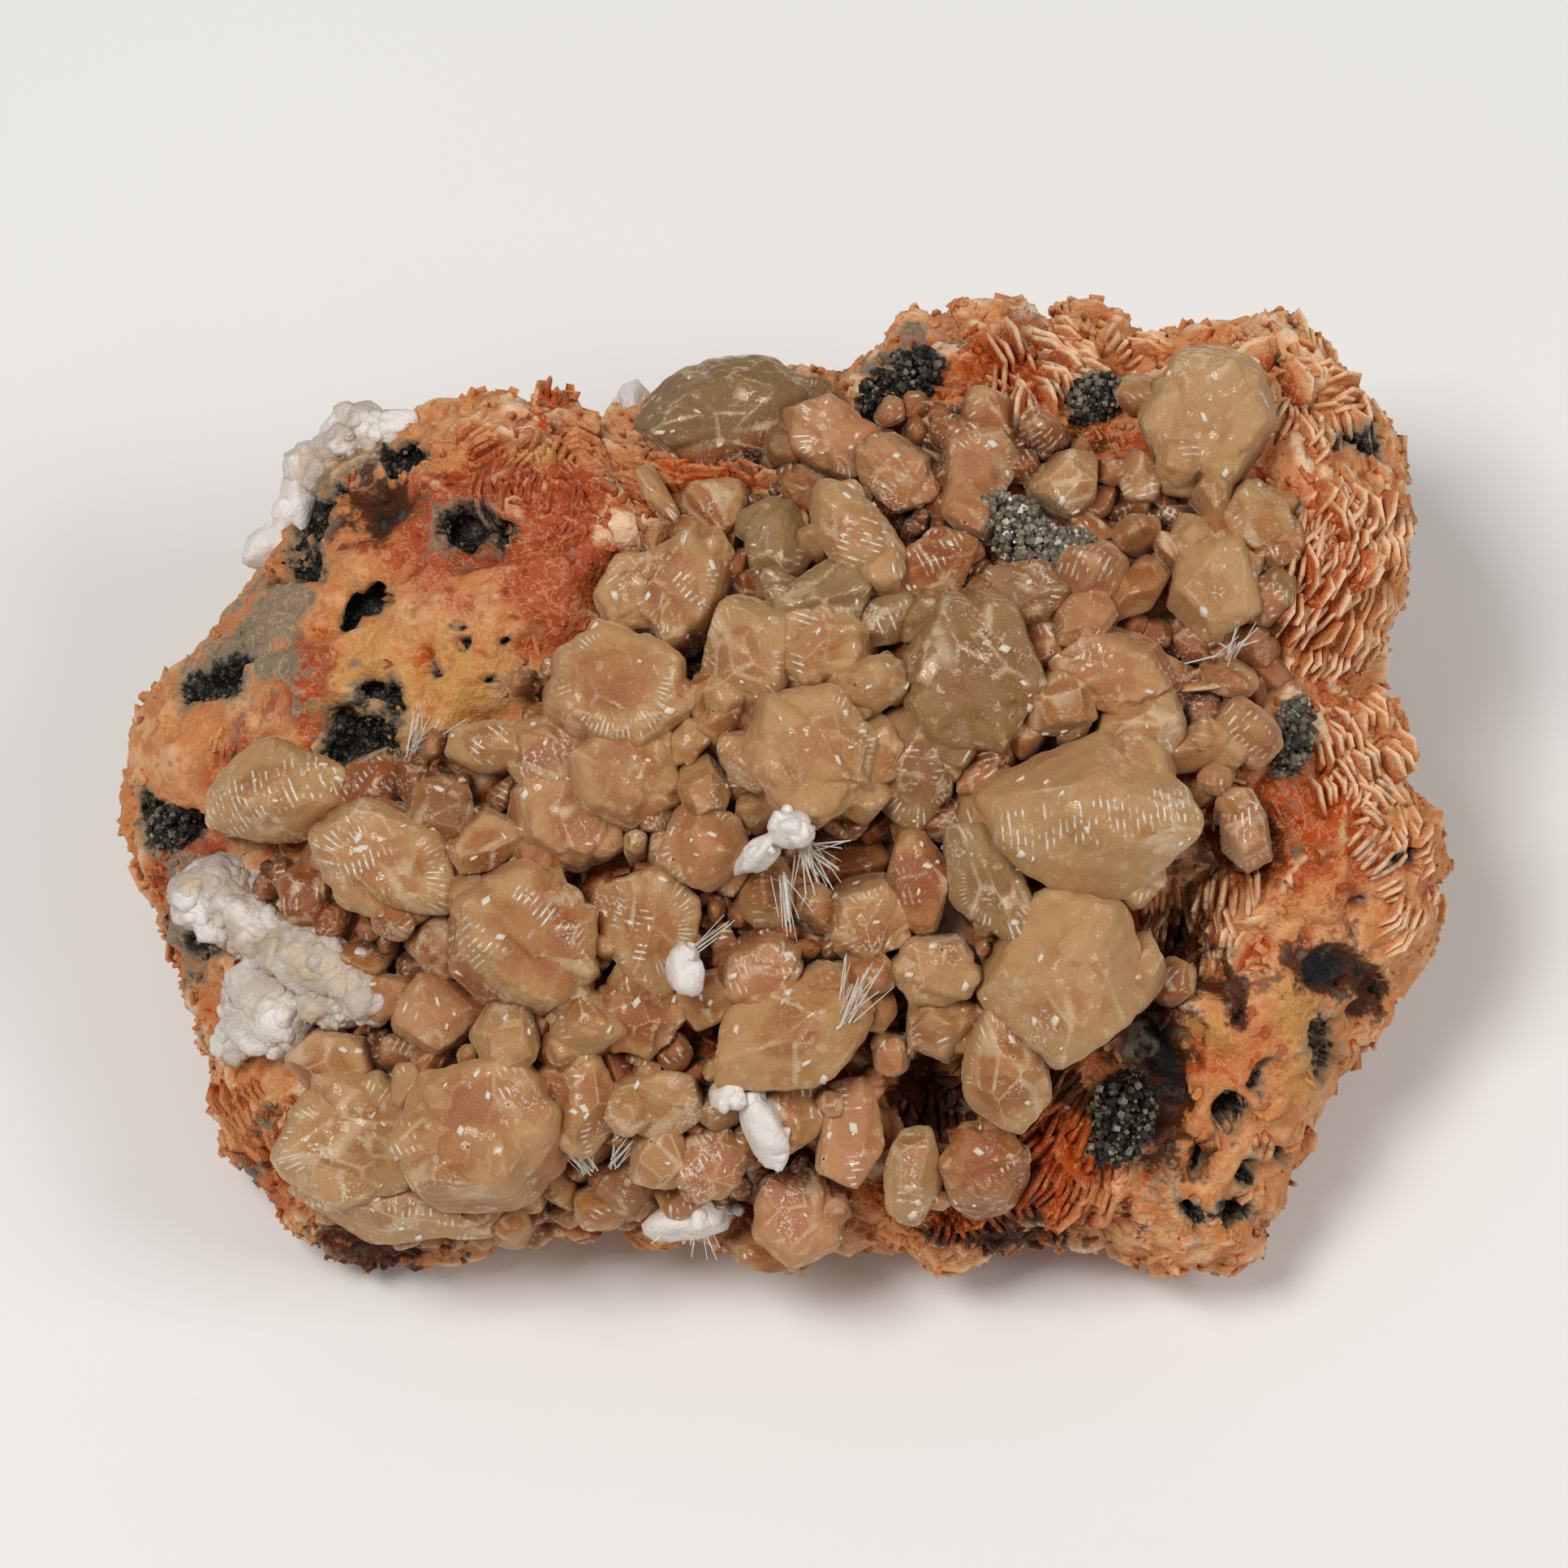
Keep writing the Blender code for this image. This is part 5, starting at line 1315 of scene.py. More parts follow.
@dataclass
class Blades:
    """Barite blades: thin bevelled plates that stand on edge in the rock, single or in sheaves."""

    rock: Rock
    corners: int = 6
    thickness: float = 0.34
    depth: float = 1.6
    spacing: float = 0.62
    bevel: float = 0.84
    squareness: float = 0.55
    grain_corners: int = 4
    grain_depth: float = 0.6
    # How pale single grains' edges are painted, as a highlight
    grain_paleness: float = 0.6
    grain_sway: float = 2.6

    def seats(self, chance: Array, count: int, draw: np.random.Generator) -> tuple[Array, Array]:
        """Random places on the rock.

        Args:
            chance: how likely each place of the net is for its area, rings by segments.
            count: how many places.
            draw: the source of chance.

        Returns:
            The places in millimetres, and the outward normals there.
        """
        grid = self.rock.grid
        around = np.linalg.norm(np.roll(grid, -1, axis=1) - grid, axis=-1)
        along = np.linalg.norm(np.gradient(grid, axis=0), axis=-1)
        weight = (chance * around * along).ravel()
        picked = draw.choice(weight.size, count, p=weight / weight.sum())
        return grid.reshape(-1, 3)[picked], self.rock.normals.reshape(-1, 3)[picked]

    def plates(self, places: Array, along: Array, across: Array, out: Array, sizes: Array,
               draw: np.random.Generator) -> tuple[Array, Array, Array]:
        """Bevelled plates: a front and a back outline shrunk towards the middle, and one between.

        Args:
            places: the middle of each blade's foot.
            along: unit vectors along the blades.
            across: unit vectors through their thickness.
            out: unit vectors along their height.
            sizes: half length, half thickness and half height of each.
            draw: the source of chance.

        Returns:
            Points in millimetres, triangles, and how near the edge each point is.
        """
        count, corners = len(places), self.corners
        angle = (np.arange(corners) + 0.5) * 2.0 * math.pi / corners
        angle = angle + draw.uniform(-0.22, 0.22, (count, corners))
        square = 1.0 / np.maximum(np.abs(np.cos(angle)), np.abs(np.sin(angle)))
        radius = square**self.squareness * draw.uniform(0.82, 1.08, (count, corners))
        x, z = radius * np.cos(angle), radius * np.sin(angle)
        rings = []
        for share, side in ((self.bevel, -1.0), (1.0, 0.0), (self.bevel, 1.0)):
            rings.append(np.stack((x * share, np.full_like(x, side), z * share), axis=-1))
        hubs = np.zeros((count, 2, 3))
        hubs[:, 0, 1], hubs[:, 1, 1] = -1.0, 1.0
        own = np.concatenate((*rings, hubs), axis=1) * sizes[:, None, :]
        frames = np.stack((along, across, out), axis=1)
        points = places[:, None, :] + np.einsum("bpi,bij->bpj", own, frames)
        near_edge = np.concatenate((np.repeat((0.8, 1.0, 0.8), corners), (0.1, 0.1)))
        return points, net_triangles(3, corners), np.broadcast_to(near_edge, (count, len(near_edge)))

    def add(self, draft: Draft, places: Array, along: Array, across: Array, out: Array, sizes: Array,
            draw: np.random.Generator, paleness: float) -> None:
        """Puts blades in the draft, painted as the rock is where they stand.

        Args:
            draft: the mesh being gathered.
            places, along, across, out, sizes, draw: as for plates.
            paleness: how pale the blades' edges are painted, as a highlight.
        """
        points, triangles, near_edge = self.plates(places, along, across, out, sizes, draw)
        foot = np.einsum("bpi,bi->bp", points - places[:, None, :], out) / sizes[:, 2:3]
        # Painted highlight: paler towards each blade's outline and top
        edge = paleness * near_edge * np.clip(0.35 + 0.65 * foot, 0.0, 1.0)
        # Painted shade: darker towards each blade's foot
        hollow_shade = np.clip(0.55 - 0.75 * foot, 0.0, 1.0)
        draft.add(points * MM, triangles, hollow_shade=hollow_shade, edge=edge, **paint(points * MM))

    def bank(self, bank: Sheaf, draft: Draft, paleness: float, draw: np.random.Generator) -> None:
        """Grows one bank of sheaves: in each, blades side by side along a line that fan out a little.

        Args:
            bank: the bank.
            draft: the mesh being gathered.
            paleness: how pale the blades' edges are painted, as a highlight.
            draw: the source of chance.
        """
        flat = FACE.to_face(self.rock.grid * MM)
        offset_u = (flat[..., 0] - bank.u) / bank.spread_u
        offset_v = (flat[..., 1] - bank.v) / bank.spread_v
        inside = (offset_u**2 + offset_v**2 < 1.0) & (flat[..., 2] > -7.0) & (self.rock.grid[..., 2] > 2.5)
        places, normals = self.seats(inside * 1.0, bank.sheaves, draw)
        turn = np.radians(bank.turn + draw.uniform(-1, 1, bank.sheaves) * bank.scatter)
        wanted = np.stack((np.cos(turn), np.sin(turn), np.zeros_like(turn)), axis=-1) @ FACE.axes
        normals = unit(normals + draw.normal(0.0, 0.22, normals.shape))
        along = unit(wanted - np.sum(wanted * normals, axis=1, keepdims=True) * normals)
        step = np.arange(bank.blades) - (bank.blades - 1) / 2.0
        step = step[None, :] + draw.uniform(-0.25, 0.25, (bank.sheaves, bank.blades))
        fan = (step * draw.uniform(0.02, 0.14, (bank.sheaves, 1)))[..., None]
        shape = (bank.sheaves, bank.blades, 3)
        across = np.broadcast_to(np.cross(normals, along)[:, None], shape)
        height = np.broadcast_to(normals[:, None], shape)
        run = np.broadcast_to(along[:, None], shape)
        leaned = unit(height + fan * across)
        thick = unit(across - fan * height)
        feet = places[:, None] + across * (step * self.spacing)[..., None]
        feet = feet + run * (draw.uniform(-0.2, 0.2, step.shape) * bank.length)[..., None]
        size = draw.uniform(0.6, 1.15, step.shape)
        proud = bank.proud * draw.uniform(0.35, 1.1, step.shape)
        half = (proud + self.depth) / 2.0
        feet = feet + leaned * (proud - half)[..., None]
        sizes = np.stack((bank.length * size / 2.0, np.full_like(half, self.thickness / 2.0), half), axis=-1)
        parts = (part.reshape(-1, 3) for part in (feet, run, thick, leaned, sizes))
        self.add(draft, *parts, draw, paleness)

    def sheaves(self, banks: Iterable[Sheaf], seed: int, paleness: float) -> Draft:
        """Builds a mesh of sheaves.

        Args:
            banks: where they grow.
            seed: picks the random numbers.
            paleness: how pale the blades' edges are painted, as a highlight.

        Returns:
            The mesh.
        """
        draft = Draft(smooth=False)
        draw = np.random.default_rng(seed)
        for bank in banks:
            self.bank(bank, draft, paleness, draw)
        return draft

    def grains(self, chance: Array, scatter: Scatter) -> Draft:
        """Single small blades scattered over the rock, turned by a smooth random field.

        Args:
            chance: how likely each place of the net is.
            scatter: how many, and their sizes.

        Returns:
            The mesh.
        """
        count, seed = scatter.count, scatter.seed
        draft = Draft(smooth=False)
        draw = np.random.default_rng(seed)
        small = Blades(self.rock, corners=self.grain_corners)
        places, normals = self.seats(chance, count, draw)
        out = unit(normals + draw.normal(0.0, 0.3, normals.shape))
        sway = np.stack([smooth_random(places, self.grain_sway, seed + step) for step in range(3)], axis=-1)
        along = unit(np.cross(out, sway + draw.normal(0.0, 0.1, out.shape)))
        across = np.cross(out, along)
        half_length = draw.uniform(*scatter.length, count) / 2.0
        rise = draw.uniform(*scatter.proud, count)
        half = (rise + self.grain_depth) / 2.0
        sizes = np.stack((half_length, half_length * draw.uniform(0.12, 0.32, count), half), axis=-1)
        feet = places + out * (rise - half)[:, None]
        small.add(draft, feet, along, across, out, sizes, draw, self.grain_paleness)
        return draft


@dataclass
class Growth:
    """Cerussite crystals: twinned forms between flat faces, with vicinal facets, lines and chips."""

    root_faces: tuple = (3, 15, -48, 0.90)
    root_depth: float = 0.9
    root_level: float = 0.85
    extra_root: float = 1.3
    small: float = 2.5
    face_scatter: float = 0.07
    azimuth_scatter: float = 12.0
    sharpness: float = 30.0
    swell: float = 1.02
    roundness: float = 1.18
    lens_roundness: float = 1.4
    rings: int = 50
    segments: int = 76
    first_seed: int = 1000
    large: float = 3.7
    large_finer: float = 1.35
    twin_least: float = 1.4
    arm_faces: tuple = (
        (90, 3, 0.66), (-90, 3, 0.66), (34, 6, 0.95), (-34, 6, 0.95), (146, 6, 0.95), (-146, 6, 0.95),
        (60, 52, 0.86), (-60, 52, 0.86), (120, 52, 0.86), (-120, 52, 0.86),
    )
    arm_turn: float = 60.0
    base_share: float = 0.95
    facet_tilt: float = 0.13
    facet_cut: tuple = (0.955, 0.996)
    line_period: float = 0.42
    shard_count: float = 1.3
    shard_half_thickness: float = 0.11
    # How strongly the shards are painted glint-white: a painted highlight
    shard_shine: float = 0.8
    band_width: float = 0.62
    bud_least: float = 2.2
    bud_seed: int = 7000
    bud_rings: int = 22
    bud_segments: int = 32
    radian: float = 57.3

    def face(self, azimuth: float, elevation: float, distance: float,
             crystal: Crystal) -> tuple[Array, float]:
        """One face of a crystal, whose lower half is stretched down to its root.

        Args:
            azimuth: the way the face looks, in degrees, before the crystal's own sizes stretch it.
            elevation: how far up it looks, in degrees.
            distance: its distance from the middle as a share of the half sizes.
            crystal: the crystal.

        Returns:
            The face's unit normal, and its distance in millimetres.
        """
        root = (crystal.rise + self.root_depth) / self.root_level
        end = crystal.half_depth if elevation > 0 else root
        halves = np.array((crystal.half_length, crystal.half_width, end))
        climb = math.radians(elevation)
        level = math.cos(climb)
        turned = math.radians(azimuth)
        normal = np.array((level * math.cos(turned), level * math.sin(turned), math.sin(climb))) / halves
        length = float(np.linalg.norm(normal))
        return normal / length, distance / length

    def foot(self, crystal: Crystal) -> tuple[Array, float]:
        """The face that ends a crystal in the rock."""
        return np.array((0.0, 0.0, -1.0)), crystal.rise + self.root_depth + self.extra_root

    def body(self, crystal: Crystal, draw: np.random.Generator) -> Faces:
        """The faces that the crystal's solid has, in the crystal's own axes.

        Args:
            crystal: the crystal.
            draw: the source of chance.

        Returns:
            Its faces.
        """
        rings = crystal.habit.value
        if crystal.half_length > self.small:
            rings = (*rings, self.root_faces)
        faces = [self.foot(crystal)]
        for count, first, elevation, distance in rings:
            for index in range(count):
                azimuth = first + 360.0 * index / count + draw.uniform(-1, 1) * self.azimuth_scatter
                share = distance * (1.0 + draw.uniform(-self.face_scatter, self.face_scatter))
                faces.append(self.face(azimuth, elevation, share, crystal))
        return faces

    def arms(self, crystal: Crystal, draw: np.random.Generator) -> list[Faces]:
        """Three long individuals that cross at 60 degrees, as in a twin, each with its own top face.

        Args:
            crystal: the crystal.
            draw: the source of chance.

        Returns:
            The faces of each.
        """
        made = []
        top = crystal.habit.value[-1][3]
        for index in range(3):
            turn = self.arm_turn * index + draw.uniform(-7.0, 7.0)
            grown = draw.uniform(0.97, 1.05)
            arm = [self.foot(crystal)]
            for azimuth, elevation, distance in self.arm_faces:
                share = distance * grown * draw.uniform(0.94, 1.05)
                arm.append(self.face(azimuth + turn, elevation, share, crystal))
            azimuth, elevation = draw.uniform(0.0, 360.0), draw.uniform(80, 89)
            arm.append(self.face(azimuth, elevation, top * draw.uniform(0.97, 1.05), crystal))
            made.append(arm)
        return made

    def facets(self, faces: Faces, count: int, draw: np.random.Generator) -> Faces:
        """Low facets that cut a little off a crystal, each tilted slightly from the face it is on.

        Args:
            faces: the crystal's faces.
            count: how many facets.
            draw: the source of chance.

        Returns:
            The facets as faces.
        """
        normals = np.array([normal for normal, _ in faces])
        distances = np.array([distance for _, distance in faces])
        directions = unit(draw.normal(size=(count, 3)) + (0.0, 0.0, 0.6))
        pull = np.clip(directions @ (normals / distances[:, None]).T, 0.0, None)
        nearest = np.argmax(pull, axis=1)
        places = directions / pull[np.arange(count), nearest][:, None]
        tilted = unit(normals[nearest] + draw.normal(0.0, self.facet_tilt, (count, 3)))
        cut = draw.uniform(*self.facet_cut, count)
        return [(normal, float(place @ normal) * share) for normal, place, share in zip(tilted, places, cut)]

    @staticmethod
    def radius(units: Array, faces: Faces, sharp: float, oval: Array) -> tuple[Array, Array]:
        """Distance to a crystal's skin: the sum of (direction . normal / distance)^p to the power -1/p.

        That is flat on each face and slightly round between them. The last term of the sum is an oval
        about the crystal, which takes its far corners off.

        Args:
            units: the directions.
            faces: the crystal's faces.
            sharp: the power p.
            oval: each direction's length over that of the oval.

        Returns:
            The distance along each direction, and how near each place is to an edge.
        """
        normals = np.array([normal for normal, _ in faces])
        distances = np.array([distance for _, distance in faces])
        pull = np.clip(units @ (normals / distances[:, None]).T, 0.0, None)
        pull = np.concatenate((pull, oval[:, None]), axis=1)
        strongest = pull.max(axis=1)
        radius = 1.0 / (strongest * np.sum((pull / strongest[:, None]) ** sharp, axis=1) ** (1.0 / sharp))
        second = np.partition(pull, -2, axis=1)[:, -2]
        return radius, smooth_step(second / strongest, 0.955, 1.0)

    def skin(self, crystal: Crystal, halves: Array, units: Array,
             draw: np.random.Generator) -> tuple[Array, Array]:
        """The crystal's own form between its faces, with a twin's arms where it has them.

        Args:
            crystal: the crystal.
            halves: its half sizes.
            units: the directions of its net.
            draw: the source of chance.

        Returns:
            The distance along each direction, and how near each place is to an edge.
        """
        body = self.body(crystal, draw)
        scale = float(halves[:2].mean())
        sharp = self.sharpness * draw.uniform(0.6, 1.4)
        cuts = self.facets(body, int(7 + 6 * scale), draw)
        depth = np.where(units[:, 2] > 0.0, crystal.half_depth, 1.2 * self.foot(crystal)[1])
        spread = np.stack(np.broadcast_arrays(halves[0], halves[1], depth), axis=-1)
        spread = spread * (self.lens_roundness if crystal.habit is LENS else self.roundness)
        oval = np.linalg.norm(units / spread, axis=1)
        radius, edge = self.radius(units, body + cuts, sharp, oval)
        if crystal.habit is TABLET and scale > self.twin_least:
            radius = radius * self.base_share
            for arm in self.arms(crystal, draw):
                longer, its_edge = self.radius(units, arm + self.facets(arm, 9, draw), sharp, oval)
                crease = 1.0 - smooth_step(np.abs(longer - radius) / radius, 0.0, 0.02)
                edge = np.maximum(np.where(longer > radius, its_edge, edge), 0.6 * crease)
                radius = np.maximum(radius, longer)
        return radius, edge

    def surface(self, crystal: Crystal, seed: int, rings: int,
                segments: int) -> tuple[Array, Array, dict[str, Array]]:
        """One crystal, with growth steps, ridges about its rim, dents and a fine roughness.

        Args:
            crystal: the crystal.
            seed: picks its random numbers.
            rings: rings of its net.
            segments: points in each ring.

        Returns:
            Face points in millimetres, triangles, and the values for its finish.
        """
        draw = np.random.default_rng(seed)
        middle, axes, halves = seat(crystal, draw)
        units, triangles = ball_units(rings, segments)
        units = unit(units * halves)
        radius, edge = self.skin(crystal, halves, units, draw)
        own = units * radius[:, None] * (self.swell, self.swell, 1.0)
        scale = float(halves[:2].mean())
        around = np.arctan2(own[:, 1], own[:, 0])
        level = np.hypot(units[:, 0], units[:, 1])
        rimward = smooth_step(level, 0.55, 0.85)
        wave = np.sin(around * draw.integers(13, 21) + 2.4 * smooth_random(own, 0.8 * scale, seed + 5))
        steps = np.abs((own[:, 2] * 3.1 / scale + 0.5 * smooth_random(own, scale, seed + 6)) % 1.0 - 0.5)
        lumps = layered_random(own, ((0.014, 0.75 * scale, seed + 1), (0.005, 0.3 * scale, seed + 2)))
        chips = np.clip(smooth_random(own, 0.2 * scale, seed + 3) - 0.5, 0.0, 1.0) * 0.10
        change = lumps - chips * (0.2 + 0.8 * edge)
        change += rimward * (0.010 * wave + 0.035 * (steps - 0.25))
        own = own * (1.0 + change)[:, None]
        points = middle + own @ axes
        dark, grey, pink = crystal.honey.value
        lift = points[:, 2] - FACE.height(points[:, 0], points[:, 1])
        run, banded = self.bands(own, crystal, halves, seed)
        ring = smooth_step(level, 0.72, 0.78) * (1.0 - smooth_step(level, 0.88, 0.95))
        values = {
            # Paler towards the rim on the upper side: painted light through thin edges
            "dark": dark + draw.uniform(-0.12, 0.12) + 0.2 - 0.5 * rimward * (own[:, 2] > 0.0),
            "grey": np.full(len(own), grey * draw.uniform(0.7, 1.0)),
            "pink": np.full(len(own), pink * draw.uniform(0.3, 0.8)),
            # Near edges and chips: frost on the chips, and edges painted pale as light through thin rims
            "edge": np.clip(0.8 * edge + 5.0 * chips, 0.0, 1.0),
            "gap_shade": 1.0 - smooth_step(lift, -0.2, 4.2),
            "run": run,
            # Where the finish paints bright glint dashes: along rows and about the rim
            "banded": banded,
            "rimmed": (seed % 2) * ring * smooth_step(smooth_random(own, 0.9 * scale, seed + 8), 0.05, 0.25),
            "shard_glint": np.zeros(len(own)),
            "turns": np.abs(around) * round(2.0 * math.pi * scale / self.line_period),
        }
        return points, triangles, values

    def bands(self, own: Array, crystal: Crystal, halves: Array, seed: int) -> tuple[Array, Array]:
        """Rows of short growth lines, which the finish paints as bright glints: across a lens's length, and
        at a chance angle on other forms.

        Args:
            own: the crystal's points in its own axes.
            crystal: the crystal.
            halves: its half sizes.
            seed: picks the random numbers.

        Returns:
            How far along its row each point is in millimetres, and how strongly it is in a row.
        """
        draw = np.random.default_rng(seed + 31)
        angle = math.radians(draw.uniform(-14.0, 14.0) if crystal.habit is LENS else draw.uniform(0.0, 180.0))
        run = own[:, 0] * math.cos(angle) + own[:, 1] * math.sin(angle)
        offset = own[:, 1] * math.cos(angle) - own[:, 0] * math.sin(angle)
        offset = offset + 0.25 * smooth_random(own, 1.6, seed + 32)
        banded = np.zeros(len(own))
        rows, reach, least = (3, 0.5, -0.6) if crystal.habit is LENS else (draw.integers(0, 3), 0.7, 0.0)
        for _ in range(rows):
            middle = draw.uniform(-reach, reach) * halves[1]
            width = self.band_width * draw.uniform(0.6, 1.8)
            banded = np.maximum(banded, 1.0 - smooth_step(np.abs(offset - middle), 0.7 * width, width))
        patchy = smooth_step(smooth_random(own, 0.8 * halves[0], seed + 33), least, least + 0.3)
        return run, banded * patchy

    def shards(self, points: Array, triangles: Array, crystal: Crystal, seed: int) -> tuple[Array, Array]:
        """Small bevelled plates that stand just out of a crystal's upper faces, painted glint-white by the
        finish as highlights.

        Args:
            points: the crystal's face points in millimetres.
            triangles: its triangles.
            crystal: the crystal.
            seed: picks the random numbers.

        Returns:
            Each plate's points in millimetres, and the triangles of one plate.
        """
        draw = np.random.default_rng(seed + 50)
        a, b, c = points[triangles].transpose(1, 0, 2)
        facing = np.cross(b - a, c - a)
        weight = np.clip(facing[:, 2], 0.0, None)
        count = int(self.shard_count * crystal.half_length)
        picked = draw.choice(len(triangles), count, p=weight / weight.sum())
        out = unit(unit(facing[picked]) + draw.normal(0.0, 0.16, (count, 3)))
        turn = crystal.turn / self.radian + draw.normal(0.0, 0.3, count) + draw.integers(0, 2, count) * 1.1
        along = unit(np.stack((np.cos(turn), np.sin(turn), 0.0 * turn), axis=-1))
        along = unit(along - np.sum(along * out, axis=1, keepdims=True) * out)
        frames = np.stack((along, np.cross(out, along), out), axis=1)
        flat = np.array(((1.0, 0.6), (-0.6, 0.6), (-1.0, -0.6), (0.6, -0.6)))
        level = np.array((1.0, -1.0))[:, None, None] + np.zeros((2, 4, 1))
        rings = np.concatenate((flat[None] * np.array((0.9, 1.0))[:, None, None], level), axis=-1)
        own = np.concatenate((rings.reshape(-1, 3), ((0.0, 0.0, 1.0), (0.0, 0.0, -1.0))))
        long = draw.uniform(0.14, 0.42, count)
        thin = np.full(count, self.shard_half_thickness)
        sizes = np.stack((long, long * draw.uniform(0.4, 1.0, count), thin), axis=-1)
        plates = np.einsum("npi,nij->npj", own[None] * sizes[:, None], frames)
        return points[triangles[picked, 0]][:, None] + plates, net_triangles(2, 4)

    def buds(self, crystal: Crystal, seed: int) -> list[tuple[Crystal, int]]:
        """Smaller crystals that have grown out of a large one's flanks, in its tone.

        Args:
            crystal: the large crystal.
            seed: its seed.

        Returns:
            The buds with their seeds, none for a crystal that is too small.
        """
        if crystal.half_length < self.bud_least:
            return []
        draw = np.random.default_rng(seed + self.bud_seed)
        made = []
        for index in range(draw.integers(2, 5)):
            angle = draw.uniform(0.0, 2.0 * math.pi)
            reach = draw.uniform(0.62, 0.92)
            along = crystal.half_length * reach * math.cos(angle)
            across = crystal.half_width * reach * math.sin(angle)
            turn = math.radians(crystal.turn)
            size = crystal.half_width * draw.uniform(0.26, 0.5)
            u = crystal.u + along * math.cos(turn) - across * math.sin(turn)
            v = crystal.v + along * math.sin(turn) + across * math.cos(turn)
            rise = crystal.rise + draw.uniform(-1.2, 0.5)
            habit = (TABLET, BLOCK, ROUND, PLATE)[draw.integers(4)]
            made.append((Crystal(u, v, size * draw.uniform(1.0, 1.5), size, size * draw.uniform(1.2, 1.8),
                                 draw.uniform(0.0, 180.0), rise, habit, crystal.honey),
                         seed + self.bud_seed + 1 + index))
        return made

    def make(self, crystals: Iterable[tuple[Crystal, int]], rings: int, segments: int,
             budding: bool = False) -> Draft:
        """Builds a mesh of one or more crystals.

        Args:
            crystals: each crystal with its seed.
            rings: rings of each net.
            segments: points in each ring.
            budding: whether shards and smaller crystals grow out of them.

        Returns:
            The mesh.
        """
        draft = Draft(smooth=True)
        for crystal, seed in crystals:
            finer = self.large_finer if crystal.half_length > self.large else 1.0
            points, triangles, values = self.surface(crystal, seed, int(rings * finer), int(segments * finer))
            draft.add(FACE.to_world(points), triangles, **values)
            if budding:
                plates, corners = self.shards(points, triangles, crystal, seed)
                # The shards are painted glint-white: painted highlights
                shining = dict.fromkeys(values, 0.0) | {"shard_glint": self.shard_shine}
                draft.add(FACE.to_world(plates), corners, **shining)
            for bud, bud_seed in self.buds(crystal, seed) if budding else []:
                points, triangles, values = self.surface(bud, bud_seed, self.bud_rings, self.bud_segments)
                draft.add(FACE.to_world(points), triangles, **values)
        return draft


# Small crystals that the solids leave out, with their first seed and their net
SMALL_SEED = 400
SMALL_NET = (28, 40)
SMALL_CRYSTALS = (
    Crystal(6.0, 13.0, 1.5, 1.4, 1.8, 0, 3.4, ROUND, PALE),
    Crystal(-1.3, 15.8, 1.8, 1.5, 1.8, 20, 1.6, BLOCK, GREY),
    Crystal(-4.8, 5.3, 1.7, 1.0, 2.0, 80, 2.6, BLOCK, HONEY),
    Crystal(-4.0, 3.8, 1.5, 1.2, 1.8, 20, 2.6, BLOCK, HONEY),
    Crystal(23.7, -12.0, 1.5, 1.4, 1.8, 0, 1.6, ROUND, HONEY),
    Crystal(21.5, 23.8, 1.2, 1.1, 1.6, 0, 1.6, BLOCK, PALE),
    Crystal(30.2, 15.0, 1.6, 1.5, 1.6, 0, 1.2, ROUND, PINK),
    Crystal(25.0, 15.0, 1.4, 1.4, 1.8, 0, 2.0, BLOCK, PALE),
    Crystal(30.0, 11.8, 1.3, 1.3, 1.6, 0, 1.4, ROUND, GREY),
    Crystal(25.5, 2.7, 1.5, 1.0, 2.0, 80, 2.2, BLOCK, PALE),
    Crystal(27.2, 2.2, 1.5, 1.3, 1.8, 20, 2.0, BLOCK, PALE),
    Crystal(27.5, -1.2, 1.3, 1.1, 1.6, 0, 1.8, BLOCK, PALE),
    Crystal(6.6, -16.6, 1.2, 1.2, 1.5, 0, 2.4, ROUND, PINK),
    Crystal(-9.0, -3.5, 0.7, 0.7, 1.0, 0, 3.2, ROUND, PALE),
    Crystal(-20.3, -26.7, 2.6, 1.1, 1.6, -12, 2.2, LENS, PALE),
    Crystal(-9.4, -19.6, 1.6, 1.5, 2.0, 70, 3.0, BLOCK, PALE),
    Crystal(-9.6, -24.7, 2.2, 1.7, 2.0, 10, 1.4, BLOCK, OLIVE),
    Crystal(-7.6, 17.6, 2.0, 0.7, 1.3, -50, 1.5, BLOCK, PALE),
)


class Fill(NamedTuple):
    """One pass of small crystals: half length, clearance from large ones, how many, and its net."""

    size: float
    clearance: float
    count: int
    rings: int
    segments: int


